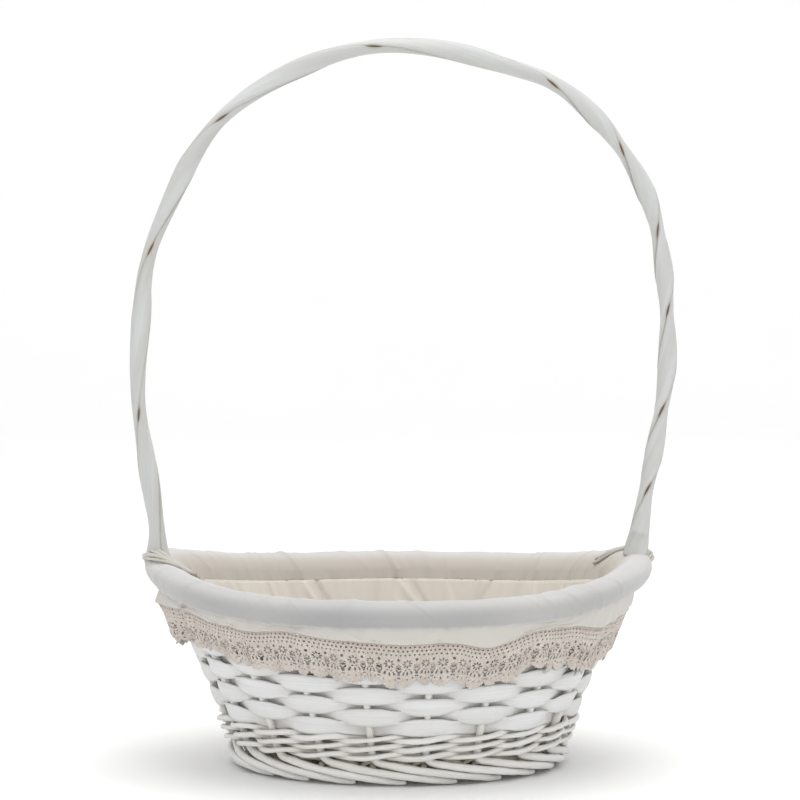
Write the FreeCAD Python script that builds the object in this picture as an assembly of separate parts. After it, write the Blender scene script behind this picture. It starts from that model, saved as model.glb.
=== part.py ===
import FreeCAD, Part
import os
from math import acos, asin, cos, hypot, pi, radians, sin, tan

# A flower girl basket: an oval white-painted willow and wood-chip basket on a turned foot border,
# with a tall fixed bow handle, a gathered cotton lining, a cloth-covered rim and a lace skirt.
# Millimetres. +Z is up, +X runs along the oval and the handle bow, +Y is one long side.
# The origin is on the floor under the middle of the oval.

Vector = FreeCAD.Vector

# ---- driving dimensions ----
HALF_LENGTH_AT_FLOOR = 87.5     # from the middle to a stake's centreline, along X
FLARE = 0.3226                  # how fast the wall leans out, from the floor up
FLARE_GROWTH = 0.00119          # and how much faster it does so near the rim
OVAL_RATIO = 0.77               # the oval's width over its length
RIM_HEIGHT = 98.5               # middle of the rim roll on the long sides
END_RISE = 11.0                 # how much higher the rim is at the handle's two ends
STAKES = 20                     # uprights, evenly spaced round the oval's angle
STAKE_RADIUS = 2.25
STAKE_BENDS = 7                 # slight bends that make a stake follow the wall
CLEARANCE = 0.3                 # between willow pieces that lie on each other
END_GAP = 1.5                   # between the two ends of a weaver
CHIP_ROWS = 10
CHIP_THICKNESS = 1.0
CHIP_WIDTH = 9.8                # where a chip strip lies flat over a stake
CHIP_PINCH = 5.4                # where it turns through the wall between two stakes
CHIP_PITCH = 6.15
FIRST_CHIP_HEIGHT = 33.0
WALE_ROWS = 3
WALE_RADIUS = 1.2
WALE_PITCH = 5.0
WALE_BEND = 3.5                 # tightest bend of a twined rod
FIRST_WALE_HEIGHT = 16.5
FOOT_HEIGHT = 12.0              # where the stakes turn to run along the floor
FOOT_BEND = 6.0                 # largest radius of a stake's bends
FLOOR_BLOCK = 400.0             # side of a block that stands for the floor, wider than the
FLOOR_BLOCK_DEPTH = 10.0        # basket: it cuts the stakes flat where they touch it
HOOP_RADIUS = 3.0
TOP_ROD_RADIUS = 2.5
CORE_RADIUS = 2.1               # each of the two willow rods inside the handle
CORE_OFFSET = 2.2               # from the handle's centreline to each rod
HANDLE_ROOT_HEIGHT = 55.0       # weavers above this pass round the handle's rods
HANDLE_HALF_TURN = 88.0         # length of handle in which its rods make half a turn
CLOTH = 0.8                     # thickness of the lining's cloth
HEM_HEIGHT = 83.0               # lower edge of the cloth skirt outside
SEAM_HEIGHT = 91.8              # inner edge of the rim cover, where the lining is sewn on
LACE_TOP = 85.0
LACE_BOTTOM = 58.0
LACE_THICKNESS = 0.6
LACE_OUT = 4.9                  # from the stakes' centrelines to the lace's back
ROLL_HALF_WIDTH = 9.8           # of the padded rim roll, and
ROLL_HALF_HEIGHT = 8.8          # its cover's top above the hoops' middle
SKIRT_TOP_OUT = 5.6             # where the skirt leaves the roll, tucked in below it
HEM_OUT = 7.2
SEAM_OUT = 9.0                  # how far inside the stakes the cover's inner seam lies
LINING_GAP = 2.6                # between the chips and the lining
SEAM_LEAN = 2.3                 # how far the lining's top leans in to meet the seam
LINING_FLOOR_GAP = 3.8          # between the chips and the lining's floor
CLOTH_JOIN_TURN = 0.3           # past the oval's end, where the cloth bands are joined
CLOTH_JOIN_GAP = 0.004          # hairline left between a band's two ends
LASHING_RADIUS = 0.8
LASHING_SPACING = 0.035         # from strand to strand round the oval
LASHING_SWEEP = 0.45            # how far a strand runs along the rim on its way over
LASHING_LIFT = 1.7              # centre of a strand above the cover
LASHING_TURN = 185.0            # degrees a strand turns round the roll, in
LASHING_BENDS = 12              # so many straight runs
SLOT_WIDTH = 9.0                # of the slots in the rim cover for the handle's roots,
SLOT_LENGTH = 10.0              # across the oval,
SLOT_HEIGHT = 14.0
SLOT_LIFT = 2.0                 # from the rim's height to the slot's lower end
BRAD_RADIUS = 0.6
BRAD_HEAD_RADIUS = 1.1
BRAD_HEAD = 0.2
BRAD_LENGTH = 16.8              # of the shank, from the outer hoop into the inner one
BRAD_HOLE_RADIUS = 0.7
BRAD_HOLE_LENGTH = 24.0
WRAP_HALF_WIDTH = 5.2           # of a chip ribbon round the handle's rods
WRAP_HALF_DEPTH = 2.8
WRAP_THICKNESS = 0.8
WRAP_SLIT = 0.35                # half the slit left between the two ribbons
WRAP_FLARE = 0.5                # how much wider the ribbons are at the handle's foot
WRAP_FLARE_LENGTH = 18.0
TWIST_START = 0.08              # part of the bow, at each end, whose rods lie side by side
LINING_FLOOR_HEIGHT = 14.6
BASE_MIDDLE_HEIGHT = 8.4
BASE_WEAVE_ROUNDS = 6
BASE_STICK_INSET = 1.2          # from a stake to a base stick's end
BASE_WEAVE_INSET = 4.6          # from a stake to the outermost round
BASE_WEAVE_PITCH = 5.4
BASE_WEAVE_BULGE = 1.35         # how far two paired rods swing apart between the sticks
BASE_TUNNEL_RADIUS = 1.15       # of the holes that the long sticks are threaded through
CROSS_STICK_RADIUS = 1.9
CROSS_STICK_PLACES = range(-42, 43, 14)
LONG_STICK_RADIUS = 1.0
LONG_STICK_PLACES = (-11, 0, 11)

# ---- worked out from them ----
STEP = 2 * pi / STAKES          # angle from one stake to the next
CHIP_OUT = STAKE_RADIUS + CHIP_THICKNESS / 2 + CLEARANCE
WALE_OUT = STAKE_RADIUS + WALE_RADIUS + 2 * CLEARANCE
BASE_SWING = CROSS_STICK_RADIUS + WALE_RADIUS + 3 * CLEARANCE
HOOP_OUT = STAKE_RADIUS + HOOP_RADIUS + CLEARANCE
HOOP_HEIGHT = RIM_HEIGHT - 1.0
STAKE_TOP = RIM_HEIGHT + 1.0
TOP_ROD_HEIGHT = STAKE_TOP + CLEARANCE + TOP_ROD_RADIUS
BACK_STAKE = STAKES // 2        # weavers begin and end behind this stake
HANDLE_ANGLE = pi / 2           # the handle stands at the oval's two ends

# A stake's run along the foot border: (stakes passed, height, distance out).
FOOT_RUN = [(1.0, 6.0, 5.2), (1.6, 2.4, 2.6), (2.0, 1.9, 0.3)]

# The handle's centreline in the XZ plane, from root to root. The bow was bent by hand,
# so its two sides differ and its shoulders keep slight corners.
HANDLE_ROUTE = [
    (-111, 64), (-121, 87.2), (-130.8, 108.5), (-134.8, 128), (-141, 172), (-146.5, 206),
    (-143.5, 252), (-140, 286), (-126, 318), (-110, 349), (-90, 370), (-56, 390), (-16, 402.5),
    (22, 401), (58, 391), (88, 381.5), (112, 361), (136, 328), (146.5, 294), (150.5, 250),
    (150.5, 222), (145.5, 187), (138, 150), (134.5, 126), (130.8, 108.5), (121, 87.2),
    (111, 64),
]


def half_length(height):
    """The oval's half length at a height, to the stakes' centrelines."""
    return HALF_LENGTH_AT_FLOOR + FLARE * height + FLARE_GROWTH * height ** 2


def outward(angle):
    """The level direction that points straight out of the wall."""
    return Vector(OVAL_RATIO * sin(angle), -cos(angle), 0).normalize()


def wall(angle, height, out=0.0):
    """A point of the wall. angle 0 is the middle of the -Y side and 90 degrees the +X end,
    out is how far the point stands outside the stakes' centrelines, square to the wall."""
    along = half_length(height)
    rise = END_RISE * sin(angle) ** 4 * (height / RIM_HEIGHT) ** 2
    middle = Vector(along * sin(angle), -OVAL_RATIO * along * cos(angle), height + rise)
    steepness = OVAL_RATIO / hypot(OVAL_RATIO * sin(angle), cos(angle))
    lean = (FLARE + 2 * FLARE_GROWTH * height) * steepness
    return middle + outward(angle) * out * hypot(1, lean)


def stake_angle(number):
    return (number + 0.5) * STEP


def rounded_path(points, largest_bend=1000.0):
    """Straight runs joined by tangent arcs, through or just inside the given points."""
    edges, start = [], points[0]
    for before, corner, after in zip(points, points[1:], points[2:]):
        inward, onward = corner - before, after - corner
        turn = inward.getAngle(onward)
        if turn < 0.001:
            continue
        shorter = min(inward.Length, onward.Length)
        radius = min(largest_bend, 0.45 * shorter / tan(turn / 2))
        reach = radius * tan(turn / 2)
        arc_start = corner - inward.normalize() * reach
        arc_end = corner + onward.normalize() * reach
        to_centre = (onward - inward).normalize()
        middle = corner + to_centre * (radius / cos(turn / 2) - radius)
        edges.append(Part.LineSegment(start, arc_start).toShape())
        edges.append(Part.Arc(arc_start, middle, arc_end).toShape())
        start = arc_end
    edges.append(Part.LineSegment(start, points[-1]).toShape())
    return Part.Wire(edges)


def rod(points, radius, largest_bend=1000.0):
    """A round rod bent along a path."""
    path = rounded_path(points, largest_bend)
    end = Part.Wire(Part.makeCircle(radius, points[0], points[1] - points[0]))
    return path.makePipeShell([end], True, False)


def strip(sections):
    """A solid through a row of like cross-sections, straight from each to the next."""
    return Part.makeLoft(sections, True, True)


def ruled_strip(sections):
    """The same for sections that twist: face by face, so that no edge is matched wrongly."""
    faces = [Part.Face(sections[0]), Part.Face(sections[-1])]
    for near, far in zip(sections, sections[1:]):
        pairs = zip(near.OrderedEdges, far.OrderedEdges)
        faces += [Part.makeRuledSurface(near_edge, far_edge) for near_edge, far_edge in pairs]
    shell = Part.makeShell(faces)
    shell.sewShape()
    solid = Part.makeSolid(shell)
    if solid.Volume < 0:
        solid.reverse()
    return solid


def round_section(centre, ahead, sideways, radius):
    """A circle square to ahead that starts on the side given by sideways."""
    up = ahead.cross(sideways).normalize() * radius
    right = up.cross(ahead).normalize() * radius
    top_half = Part.Arc(centre + right, centre + up, centre - right)
    bottom_half = Part.Arc(centre - right, centre - up, centre + right)
    return Part.Wire([top_half.toShape(), bottom_half.toShape()])


def polygon(points):
    return Part.makePolygon(points + points[:1])


def arcs_and_lines(points):
    """A closed outline from (kind, point, ...) items, each starting where the last ended."""
    edges, here = [], points[0]
    for item in points[1:]:
        if len(item) == 2:
            edges.append(Part.Arc(here, item[0], item[1]).toShape())
        else:
            edges.append(Part.LineSegment(here, item[0]).toShape())
        here = item[-1]
    edges.append(Part.LineSegment(here, points[0]).toShape())
    return Part.Wire(edges)


def save(shape, node):
    if not shape.isValid():
        print("not valid:", node)
    shape.exportStep("parts/" + node + ".step")


# ---- willow uprights and weaving ----

def stake(number):
    """One upright: down the wall, then along the foot border under its two neighbours."""
    angle = stake_angle(number)
    run = (STAKE_TOP - FOOT_HEIGHT) / STAKE_BENDS
    points = [wall(angle, STAKE_TOP - run * bend) for bend in range(STAKE_BENDS + 1)]
    points += [wall(angle + passed * STEP, height, out) for passed, height, out in FOOT_RUN]
    corner = Vector(-FLOOR_BLOCK / 2, -FLOOR_BLOCK / 2, -FLOOR_BLOCK_DEPTH)
    below_floor = Part.makeBox(FLOOR_BLOCK, FLOOR_BLOCK, FLOOR_BLOCK_DEPTH, corner)
    return rod(points, STAKE_RADIUS, FOOT_BEND).cut(below_floor)


def beside_handle(gap_start, height):
    """Does this gap between two stakes hold a handle root at this height?"""
    middle = (gap_start + STEP / 2) % pi
    return abs(middle - HANDLE_ANGLE) < 0.01 and height > HANDLE_ROOT_HEIGHT


def weaver_stations(height):
    """(angle, turn) all round: turn goes from 0 to 1 as a weaver passes through the wall.
    A handle root shares the stake before it, so there the weaver passes late."""
    stations = []
    for number in range(BACK_STAKE, BACK_STAKE + STAKES):
        gap_start = stake_angle(number)
        if beside_handle(gap_start, height):
            places = [(0, 0), (0.35, 0), (0.68, 0), (0.76, 0.25), (0.84, 0.5), (0.92, 0.75)]
        else:
            places = [(part / 4, part / 4) for part in range(4)]
        for place, turn in places:
            stations.append((gap_start + place * STEP, number + turn))
    first_angle, first_turn = stations[0]
    stations.append((first_angle + 2 * pi - 0.02, first_turn + STAKES))
    return stations


def chip_weaver(row):
    """One flat chip strip woven once round the wall, in front of every other stake."""
    middle = FIRST_CHIP_HEIGHT + row * CHIP_PITCH
    sections = []
    for angle, turn in weaver_stations(middle):
        swing = cos(pi * (turn + row))
        out = CHIP_OUT * swing
        width = CHIP_PINCH + (CHIP_WIDTH - CHIP_PINCH) * swing ** 4
        low, high = middle - width / 2, middle + width / 2
        inner, outer = out - CHIP_THICKNESS / 2, out + CHIP_THICKNESS / 2
        corners = [(low, inner), (low, outer), (high, outer), (high, inner)]
        sections.append(polygon([wall(angle, height, side) for height, side in corners]))
    return strip(sections)


def wale_row(row):
    """A pair of thin rods twined round the stakes, one in front as the other goes behind."""
    middle = FIRST_WALE_HEIGHT + row * WALE_PITCH
    rise = WALE_RADIUS + CLEARANCE / 2
    rods = []
    for side in (0, 1):
        points = []
        for half in range(2 * STAKES + 1):
            twist = pi * (half / 2 + side + row)
            angle = stake_angle(BACK_STAKE) + half / 2 * STEP
            points.append(wall(angle, middle + rise * sin(twist), WALE_OUT * cos(twist)))
        points[-1] += (points[-2] - points[-1]).normalize() * END_GAP
        rods.append(rod(points, WALE_RADIUS, WALE_BEND))
    return Part.makeCompound(rods)


# ---- rim ----

def ring_rod(radius, height, out, start=0.0, sweep=2 * pi - 0.004, steps=80):
    """A bent rod that follows the oval."""
    sections = []
    for number in range(steps + 1):
        angle = start + sweep * number / steps
        here = wall(angle, height, out)
        ahead = wall(angle + 0.01, height, out) - wall(angle - 0.01, height, out)
        sections.append(round_section(here, ahead, outward(angle), radius))
    return strip(sections)


def brad_holes(radius):
    """Through each hoop and handle rod at both ends of the oval, along X."""
    holes = []
    for end in (-1, 1):
        at = wall(end * HANDLE_ANGLE, HOOP_HEIGHT)
        for side in (-1, 1):
            start = Vector(at.x - BRAD_HOLE_LENGTH / 2, side * CORE_OFFSET, at.z)
            holes.append(Part.makeCylinder(radius, BRAD_HOLE_LENGTH, start, Vector(1, 0, 0)))
    return Part.makeCompound(holes)


def handle_brads():
    """Headed brads driven from outside, through the hoops and the handle's rods."""
    brads = []
    for end in (-1, 1):
        hoop = wall(end * HANDLE_ANGLE, HOOP_HEIGHT, HOOP_OUT)
        driven = Vector(end, 0, 0)
        for side in (-1, 1):
            under_head = Vector(hoop.x, side * CORE_OFFSET, hoop.z) + driven * HOOP_RADIUS
            tip = under_head - driven * BRAD_LENGTH
            shank = Part.makeCylinder(BRAD_RADIUS, BRAD_LENGTH, tip, driven)
            head = Part.makeCylinder(BRAD_HEAD_RADIUS, BRAD_HEAD, under_head, driven)
            brads.append(shank.fuse(head))
    return Part.makeCompound(brads)


def top_rods():
    """The rods that cap the stakes, front and back, stopping short of the handle's roots."""
    stop = 2 * TOP_ROD_RADIUS / (OVAL_RATIO * half_length(TOP_ROD_HEIGHT))
    halves = []
    for start in (-HANDLE_ANGLE, HANDLE_ANGLE):
        halves.append(ring_rod(TOP_ROD_RADIUS, TOP_ROD_HEIGHT, 0, start + stop, pi - 2 * stop, 40))
    return Part.makeCompound(halves)


# ---- handle ----

def handle_stations():
    """(place, normal, across, long way) along the bow, about 6 mm apart. long way is the
    direction from one core rod to the other, which twists along the bow."""
    path = rounded_path([Vector(x, 0, z) for x, z in HANDLE_ROUTE])
    count = round(path.Length / 6)
    half_turns = round(path.Length / HANDLE_HALF_TURN)
    places = path.discretize(Number=count + 1)
    stations = []
    for number, place in enumerate(places):
        ahead = places[min(number + 1, count)] - places[max(number - 1, 0)]
        ahead.normalize()
        normal = Vector(ahead.z, 0, -ahead.x)
        # the roots stay side by side in the wall, and the twist starts above the rim
        part = min(max((number / count - TWIST_START) / (1 - 2 * TWIST_START), 0), 1)
        twist = pi / 2 + pi * half_turns * part
        long_way = normal * cos(twist) + Vector(0, 1, 0) * sin(twist)
        short_way = ahead.cross(long_way)
        stations.append((place, ahead, long_way, short_way))
    return stations


def handle_core(side):
    sections = []
    for place, ahead, long_way, short_way in handle_stations():
        centre = place + long_way * side * CORE_OFFSET
        sections.append(round_section(centre, ahead, long_way, CORE_RADIUS))
    return ruled_strip(sections).cut(brad_holes(BRAD_HOLE_RADIUS))


def handle_wrap(side):
    """One of the two chip ribbons that lie round the core and leave a slit on each edge."""
    above_rim = wall(HANDLE_ANGLE, HOOP_HEIGHT + ROLL_HALF_HEIGHT + 2 * CLEARANCE).z
    half_width, depth = WRAP_HALF_WIDTH, WRAP_HALF_DEPTH
    edge_width, edge_depth = half_width + WRAP_THICKNESS / 3, WRAP_SLIT + WRAP_THICKNESS / 2
    sections = []
    for place, ahead, long_way, short_way in handle_stations():
        if place.z < above_rim:
            continue
        flare = 1 + WRAP_FLARE * max(0, 1 - (place.z - above_rim) / WRAP_FLARE_LENGTH) ** 2

        def at(long_part, short_part):
            return place + (long_way * long_part + short_way * short_part) * side * flare

        sections.append(arcs_and_lines([
            at(-half_width, WRAP_SLIT),
            (at(0, depth), at(half_width, WRAP_SLIT)),
            (at(edge_width, edge_depth),),
            (at(0, depth + WRAP_THICKNESS), at(-edge_width, edge_depth)),
        ]))
    return ruled_strip(sections)


def handle_lashing(end, along, strands):
    """Willow skeins that run from the handle's foot over the rim roll to its inner edge."""
    rods = []
    for number in range(strands):
        start = end * HANDLE_ANGLE - along * LASHING_SPACING * (number + 1)
        points = []
        for bend in range(LASHING_BENDS + 1):
            lean = radians(LASHING_TURN * bend / LASHING_BENDS)
            angle = start - along * LASHING_SWEEP * bend / LASHING_BENDS
            height = HOOP_HEIGHT + (ROLL_HALF_HEIGHT + LASHING_LIFT) * sin(lean)
            points.append(wall(angle, height, (ROLL_HALF_WIDTH + LASHING_LIFT) * cos(lean)))
        rods.append(rod(points, LASHING_RADIUS))
    return Part.makeCompound(rods)


# ---- base ----

def base_sticks():
    """(long sticks, cross sticks): the long ones are threaded through the cross ones."""
    inset = STAKE_RADIUS + BASE_STICK_INSET
    along = half_length(BASE_MIDDLE_HEIGHT) - inset
    across = OVAL_RATIO * half_length(BASE_MIDDLE_HEIGHT) - inset
    long_sticks, cross_sticks = [], []
    for y in LONG_STICK_PLACES:
        reach = along * (1 - (y / across) ** 2) ** 0.5
        start = Vector(-reach, y, BASE_MIDDLE_HEIGHT)
        long_sticks.append(Part.makeCylinder(LONG_STICK_RADIUS, 2 * reach, start, Vector(1, 0, 0)))
    tunnels = [
        Part.makeCylinder(BASE_TUNNEL_RADIUS, 2 * along, Vector(-along, y, BASE_MIDDLE_HEIGHT),
                          Vector(1, 0, 0))
        for y in LONG_STICK_PLACES
    ]
    for x in CROSS_STICK_PLACES:
        reach = across * (1 - (x / along) ** 2) ** 0.5
        start = Vector(x, -reach, BASE_MIDDLE_HEIGHT)
        stick = Part.makeCylinder(CROSS_STICK_RADIUS, 2 * reach, start, Vector(0, 1, 0))
        cross_sticks.append(stick.cut(Part.makeCompound(tunnels)))
    return Part.makeCompound(long_sticks), Part.makeCompound(cross_sticks)


def base_round(number):
    """Two thin rods woven over and under the sticks, once round the base."""
    inset = STAKE_RADIUS + BASE_WEAVE_INSET + number * BASE_WEAVE_PITCH
    along = half_length(BASE_MIDDLE_HEIGHT) - inset
    across = OVAL_RATIO * half_length(BASE_MIDDLE_HEIGHT) - inset
    crossings = [asin(x / along) for x in CROSS_STICK_PLACES]
    crossings = crossings + [pi - angle for angle in crossings]
    for y in LONG_STICK_PLACES:
        angle = acos(-y / across)
        crossings = crossings + [angle, -angle]
    crossings = sorted(angle % (2 * pi) for angle in crossings)
    rods = []
    for side in (0, 1):
        points = []
        for place, angle in enumerate(crossings):
            following = crossings[(place + 1) % len(crossings)]
            if following < angle:
                following += 2 * pi
            over = 1 if (place + side + number) % 2 else -1
            sideways = BASE_WEAVE_BULGE * over
            points.append(Vector(along * sin(angle), -across * cos(angle),
                                 BASE_MIDDLE_HEIGHT + BASE_SWING * over))
            between = (angle + following) / 2
            points.append(Vector((along + sideways) * sin(between),
                                 -(across + sideways) * cos(between), BASE_MIDDLE_HEIGHT))
        points.append(points[0] + (points[-1] - points[0]).normalize() * END_GAP)
        rods.append(rod(points, WALE_RADIUS, WALE_BEND))
    return rods


# ---- lining, rim cover and lace ----

def cloth_ring(outline, steps=80):
    """A cloth band round the oval, with a hairline seam near one end of the oval.
    outline(point) gives the cross-section, where point(out, height) is a place on the wall,
    moved into one upright plane."""
    sections = []
    for number in range(steps + 1):
        turned = (2 * pi - CLOTH_JOIN_GAP) * number / steps
        angle = CLOTH_JOIN_TURN - HANDLE_ANGLE + turned
        rim, normal = wall(angle, RIM_HEIGHT), outward(angle)

        def point(out, height):
            place = wall(angle, height, out)
            flat = rim + normal * (place - rim).dot(normal)
            return Vector(flat.x, flat.y, place.z)

        sections.append(outline(point))
    return strip(sections)


def rim_cover_outline(point):
    """From the seam inside, over the padded rim, and down outside to the skirt's hem."""
    seam, middle, tuck = SEAM_HEIGHT, HOOP_HEIGHT, HOOP_HEIGHT - 0.83 * ROLL_HALF_HEIGHT
    wide, high = ROLL_HALF_WIDTH, ROLL_HALF_HEIGHT
    in_wide, in_high = wide - CLOTH, high - CLOTH
    return arcs_and_lines([
        point(-SEAM_OUT, seam),
        (point(0.02 - 0.98 * wide, (seam + middle) / 2), point(-wide, middle)),
        (point(-0.7 * wide, middle + 0.73 * high), point(0, middle + high)),
        (point(0.7 * wide, middle + 0.73 * high), point(wide, middle)),
        (point(0.88 * wide, middle - 0.56 * high), point(SKIRT_TOP_OUT, tuck)),
        (point(HEM_OUT, HEM_HEIGHT),),
        (point(HEM_OUT - CLOTH, HEM_HEIGHT),),
        (point(SKIRT_TOP_OUT - CLOTH, tuck + CLOTH / 2),),
        (point(0.88 * in_wide, middle - 0.52 * in_high), point(in_wide, middle)),
        (point(0.69 * in_wide, middle + 0.73 * in_high), point(0, middle + in_high)),
        (point(-0.69 * in_wide, middle + 0.73 * in_high), point(-in_wide, middle)),
        (point(0.02 - 0.98 * in_wide, (seam + middle) / 2), point(CLOTH - SEAM_OUT, seam)),
    ])


def rim_cover():
    """The rim cover, with a slot at each end for the handle's roots."""
    slots = []
    for end in (-1, 1):
        at = wall(end * HANDLE_ANGLE, RIM_HEIGHT)
        corner = Vector(at.x - SLOT_WIDTH / 2, -SLOT_LENGTH / 2, at.z + SLOT_LIFT)
        slots.append(Part.makeBox(SLOT_WIDTH, SLOT_LENGTH, SLOT_HEIGHT, corner))
    return cloth_ring(rim_cover_outline).cut(Part.makeCompound(slots))


def lining_wall():
    """The lining's side, up to the seam under the padded rim, where it leans in."""
    outer = -CHIP_OUT - LINING_GAP
    low, high = LINING_FLOOR_HEIGHT, SEAM_HEIGHT - CLEARANCE
    sides = [(outer, low + (high - low) * part / 3) for part in range(3)]
    sides.append((outer - SEAM_LEAN, high))
    corners = [(out - CLOTH, height) for out, height in sides] + sides[::-1]
    return cloth_ring(lambda point: polygon([point(out, height) for out, height in corners]))


def lining_floor():
    inset = CHIP_OUT + LINING_FLOOR_GAP
    along = half_length(LINING_FLOOR_HEIGHT) - inset
    across = OVAL_RATIO * half_length(LINING_FLOOR_HEIGHT) - inset
    oval = Part.Ellipse(Vector(0, 0, LINING_FLOOR_HEIGHT), along, across).toShape()
    return Part.Face(Part.Wire(oval)).extrude(Vector(0, 0, CLOTH))


def lace_trim():
    inner, outer = LACE_OUT, LACE_OUT + LACE_THICKNESS
    heights = [LACE_BOTTOM, (LACE_BOTTOM + LACE_TOP) / 2, LACE_TOP]
    corners = [(inner, height) for height in heights]
    corners += [(outer, height) for height in reversed(heights)]
    return cloth_ring(lambda point: polygon([point(out, height) for out, height in corners]))


# ---- the parts ----

os.makedirs("parts", exist_ok=True)
for number in range(STAKES):
    save(stake(number), "side_stake_%02d" % (number + 1))
for row in range(CHIP_ROWS):
    save(chip_weaver(row), "chip_weaver_%02d" % (row + 1))
for row in range(WALE_ROWS):
    save(wale_row(row), "wale_row_%d" % (row + 1))
holes = brad_holes(BRAD_HOLE_RADIUS)
save(ring_rod(HOOP_RADIUS, HOOP_HEIGHT, -HOOP_OUT, 0.3).cut(holes), "rim_inner_hoop")
save(ring_rod(HOOP_RADIUS, HOOP_HEIGHT, HOOP_OUT, 0.3).cut(holes), "rim_outer_hoop")
save(top_rods(), "rim_top_rods")
save(handle_brads(), "handle_brads")
save(handle_core(-1), "handle_core_rod_a")
save(handle_core(1), "handle_core_rod_b")
save(handle_wrap(-1), "handle_chip_wrap_a")
save(handle_wrap(1), "handle_chip_wrap_b")
save(handle_lashing(-1, -1, 4), "handle_lashing_left")
save(handle_lashing(1, -1, 3), "handle_lashing_right")
long_sticks, cross_sticks = base_sticks()
save(long_sticks, "base_long_sticks")
save(cross_sticks, "base_cross_sticks")
rounds = [base_round(number) for number in range(BASE_WEAVE_ROUNDS)]
save(Part.makeCompound(sum(rounds[:2], [])), "base_weave_outer")
save(Part.makeCompound(sum(rounds[2:4], [])), "base_weave_middle")
save(Part.makeCompound(sum(rounds[4:], [])), "base_weave_inner")
save(lining_floor(), "lining_floor")
save(lining_wall(), "lining_wall")
save(rim_cover(), "rim_cover")
save(lace_trim(), "lace_trim")
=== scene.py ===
"""Looks of the flower girl basket: painted willow and chip, sewn cotton lining, lace skirt.

Metres, in the frame of the CAD part: +Z up, +X along the oval, -Y towards the camera.
The wall is described by three numbers: the oval's angle (0 at the front, 90 degrees at +X),
the height, and how far out a point stands from the stakes' centrelines.
"""

from math import pi, radians

import bpy
import numpy as np
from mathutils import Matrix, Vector


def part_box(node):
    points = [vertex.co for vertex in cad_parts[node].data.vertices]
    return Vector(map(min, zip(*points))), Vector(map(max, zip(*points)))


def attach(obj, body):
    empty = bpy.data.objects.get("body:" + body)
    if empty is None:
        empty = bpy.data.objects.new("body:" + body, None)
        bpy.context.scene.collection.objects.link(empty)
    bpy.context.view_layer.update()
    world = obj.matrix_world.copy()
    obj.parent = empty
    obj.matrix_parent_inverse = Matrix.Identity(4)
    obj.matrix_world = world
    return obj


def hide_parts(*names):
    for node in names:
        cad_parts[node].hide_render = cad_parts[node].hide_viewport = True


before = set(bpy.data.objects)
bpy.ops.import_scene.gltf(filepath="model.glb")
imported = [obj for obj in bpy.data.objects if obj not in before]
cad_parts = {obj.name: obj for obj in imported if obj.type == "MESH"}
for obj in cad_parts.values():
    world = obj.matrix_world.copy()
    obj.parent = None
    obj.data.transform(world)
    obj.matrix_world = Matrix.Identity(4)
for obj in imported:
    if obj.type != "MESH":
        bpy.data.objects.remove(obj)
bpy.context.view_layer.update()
MM = 0.001

# ---- the weaving's own dimensions, as in the frame ----
STAKES = 20
STEP = 2 * pi / STAKES
BACK_STAKE = STAKES // 2
STAKE_RADIUS = 2.25 * MM
CLEARANCE = 0.3 * MM
CHIP_ROWS = 10
CHIP_THICKNESS = 0.95 * MM
WALE_ROWS = 3
WALE_RADIUS = 1.2 * MM
HOOP_RADIUS = 3.0 * MM
CORE_RADIUS = 2.1 * MM
CORE_OFFSET = 2.2 * MM
CLOTH = 0.7 * MM
STICK_END_GAP = 3.45 * MM       # from the stakes' centrelines in to a base stick's end
FLOOR_EDGE_GAP = 6.85 * MM      # and in to the edge of the lining's floor


# ---- the wall, read from the frame ----

def node_middle(node):
    low, high = (np.array(corner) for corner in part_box(node))
    return (low + high) / 2, (high - low)


def read_wall():
    """(profile of the oval's half length over the height, oval ratio, hoop height, end rise)"""
    inner_hoop, outer_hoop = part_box("rim_inner_hoop"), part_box("rim_outer_hoop")
    rim_half = (inner_hoop[1][0] + outer_hoop[1][0]) / 2 - HOOP_RADIUS
    rim_across = (inner_hoop[1][1] + outer_hoop[1][1]) / 2 - HOOP_RADIUS
    hoop_height = inner_hoop[0][2] + HOOP_RADIUS
    end_rise = inner_hoop[1][2] - inner_hoop[0][2] - 2 * HOOP_RADIUS
    stick_middle, stick_size = node_middle("base_long_sticks")
    floor_low, floor_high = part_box("lining_floor")
    heights = [stick_middle[2], floor_low[2], hoop_height]
    halves = [stick_size[0] / 2 + STICK_END_GAP, floor_high[0] + FLOOR_EDGE_GAP, rim_half]
    return np.polyfit(heights, halves, 2), rim_across / rim_half, hoop_height, end_rise


PROFILE, OVAL_RATIO, HOOP_HEIGHT, END_RISE = read_wall()
RIM_HEIGHT = HOOP_HEIGHT + 1 * MM
SLOPE = np.polyder(PROFILE)


def wall(angle, height, out=0.0):
    """Points of the wall, for arrays of angles, heights and distances out."""
    angle, height, out = np.broadcast_arrays(*(np.asarray(v, float) for v in (angle, height, out)))
    along = np.polyval(PROFILE, height)
    normal_x, normal_y = OVAL_RATIO * np.sin(angle), -np.cos(angle)
    size = np.hypot(normal_x, normal_y)
    lean = np.polyval(SLOPE, height) * OVAL_RATIO / size
    reach = out * np.hypot(1, lean) / size
    rise = END_RISE * np.sin(angle) ** 4 * (height / HOOP_HEIGHT) ** 2
    return np.stack([along * np.sin(angle) + normal_x * reach,
                     -OVAL_RATIO * along * np.cos(angle) + normal_y * reach,
                     height + rise], axis=-1)


def stake_angle(number):
    return (number + 0.5) * STEP


def smooth_step(value, low, high):
    part = np.clip((value - low) / (high - low), 0, 1)
    return part * part * (3 - 2 * part)


def waves(angle, counts, seed):
    """A smooth random curve round the oval: a few sines with seeded phases, about -1 to 1."""
    draw = np.random.default_rng(seed)
    total = np.zeros_like(np.asarray(angle, float))
    for count in counts:
        total = total + np.sin(count * angle + draw.uniform(0, 2 * pi))
    return total / np.sqrt(len(counts))


# ---- materials ----

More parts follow.
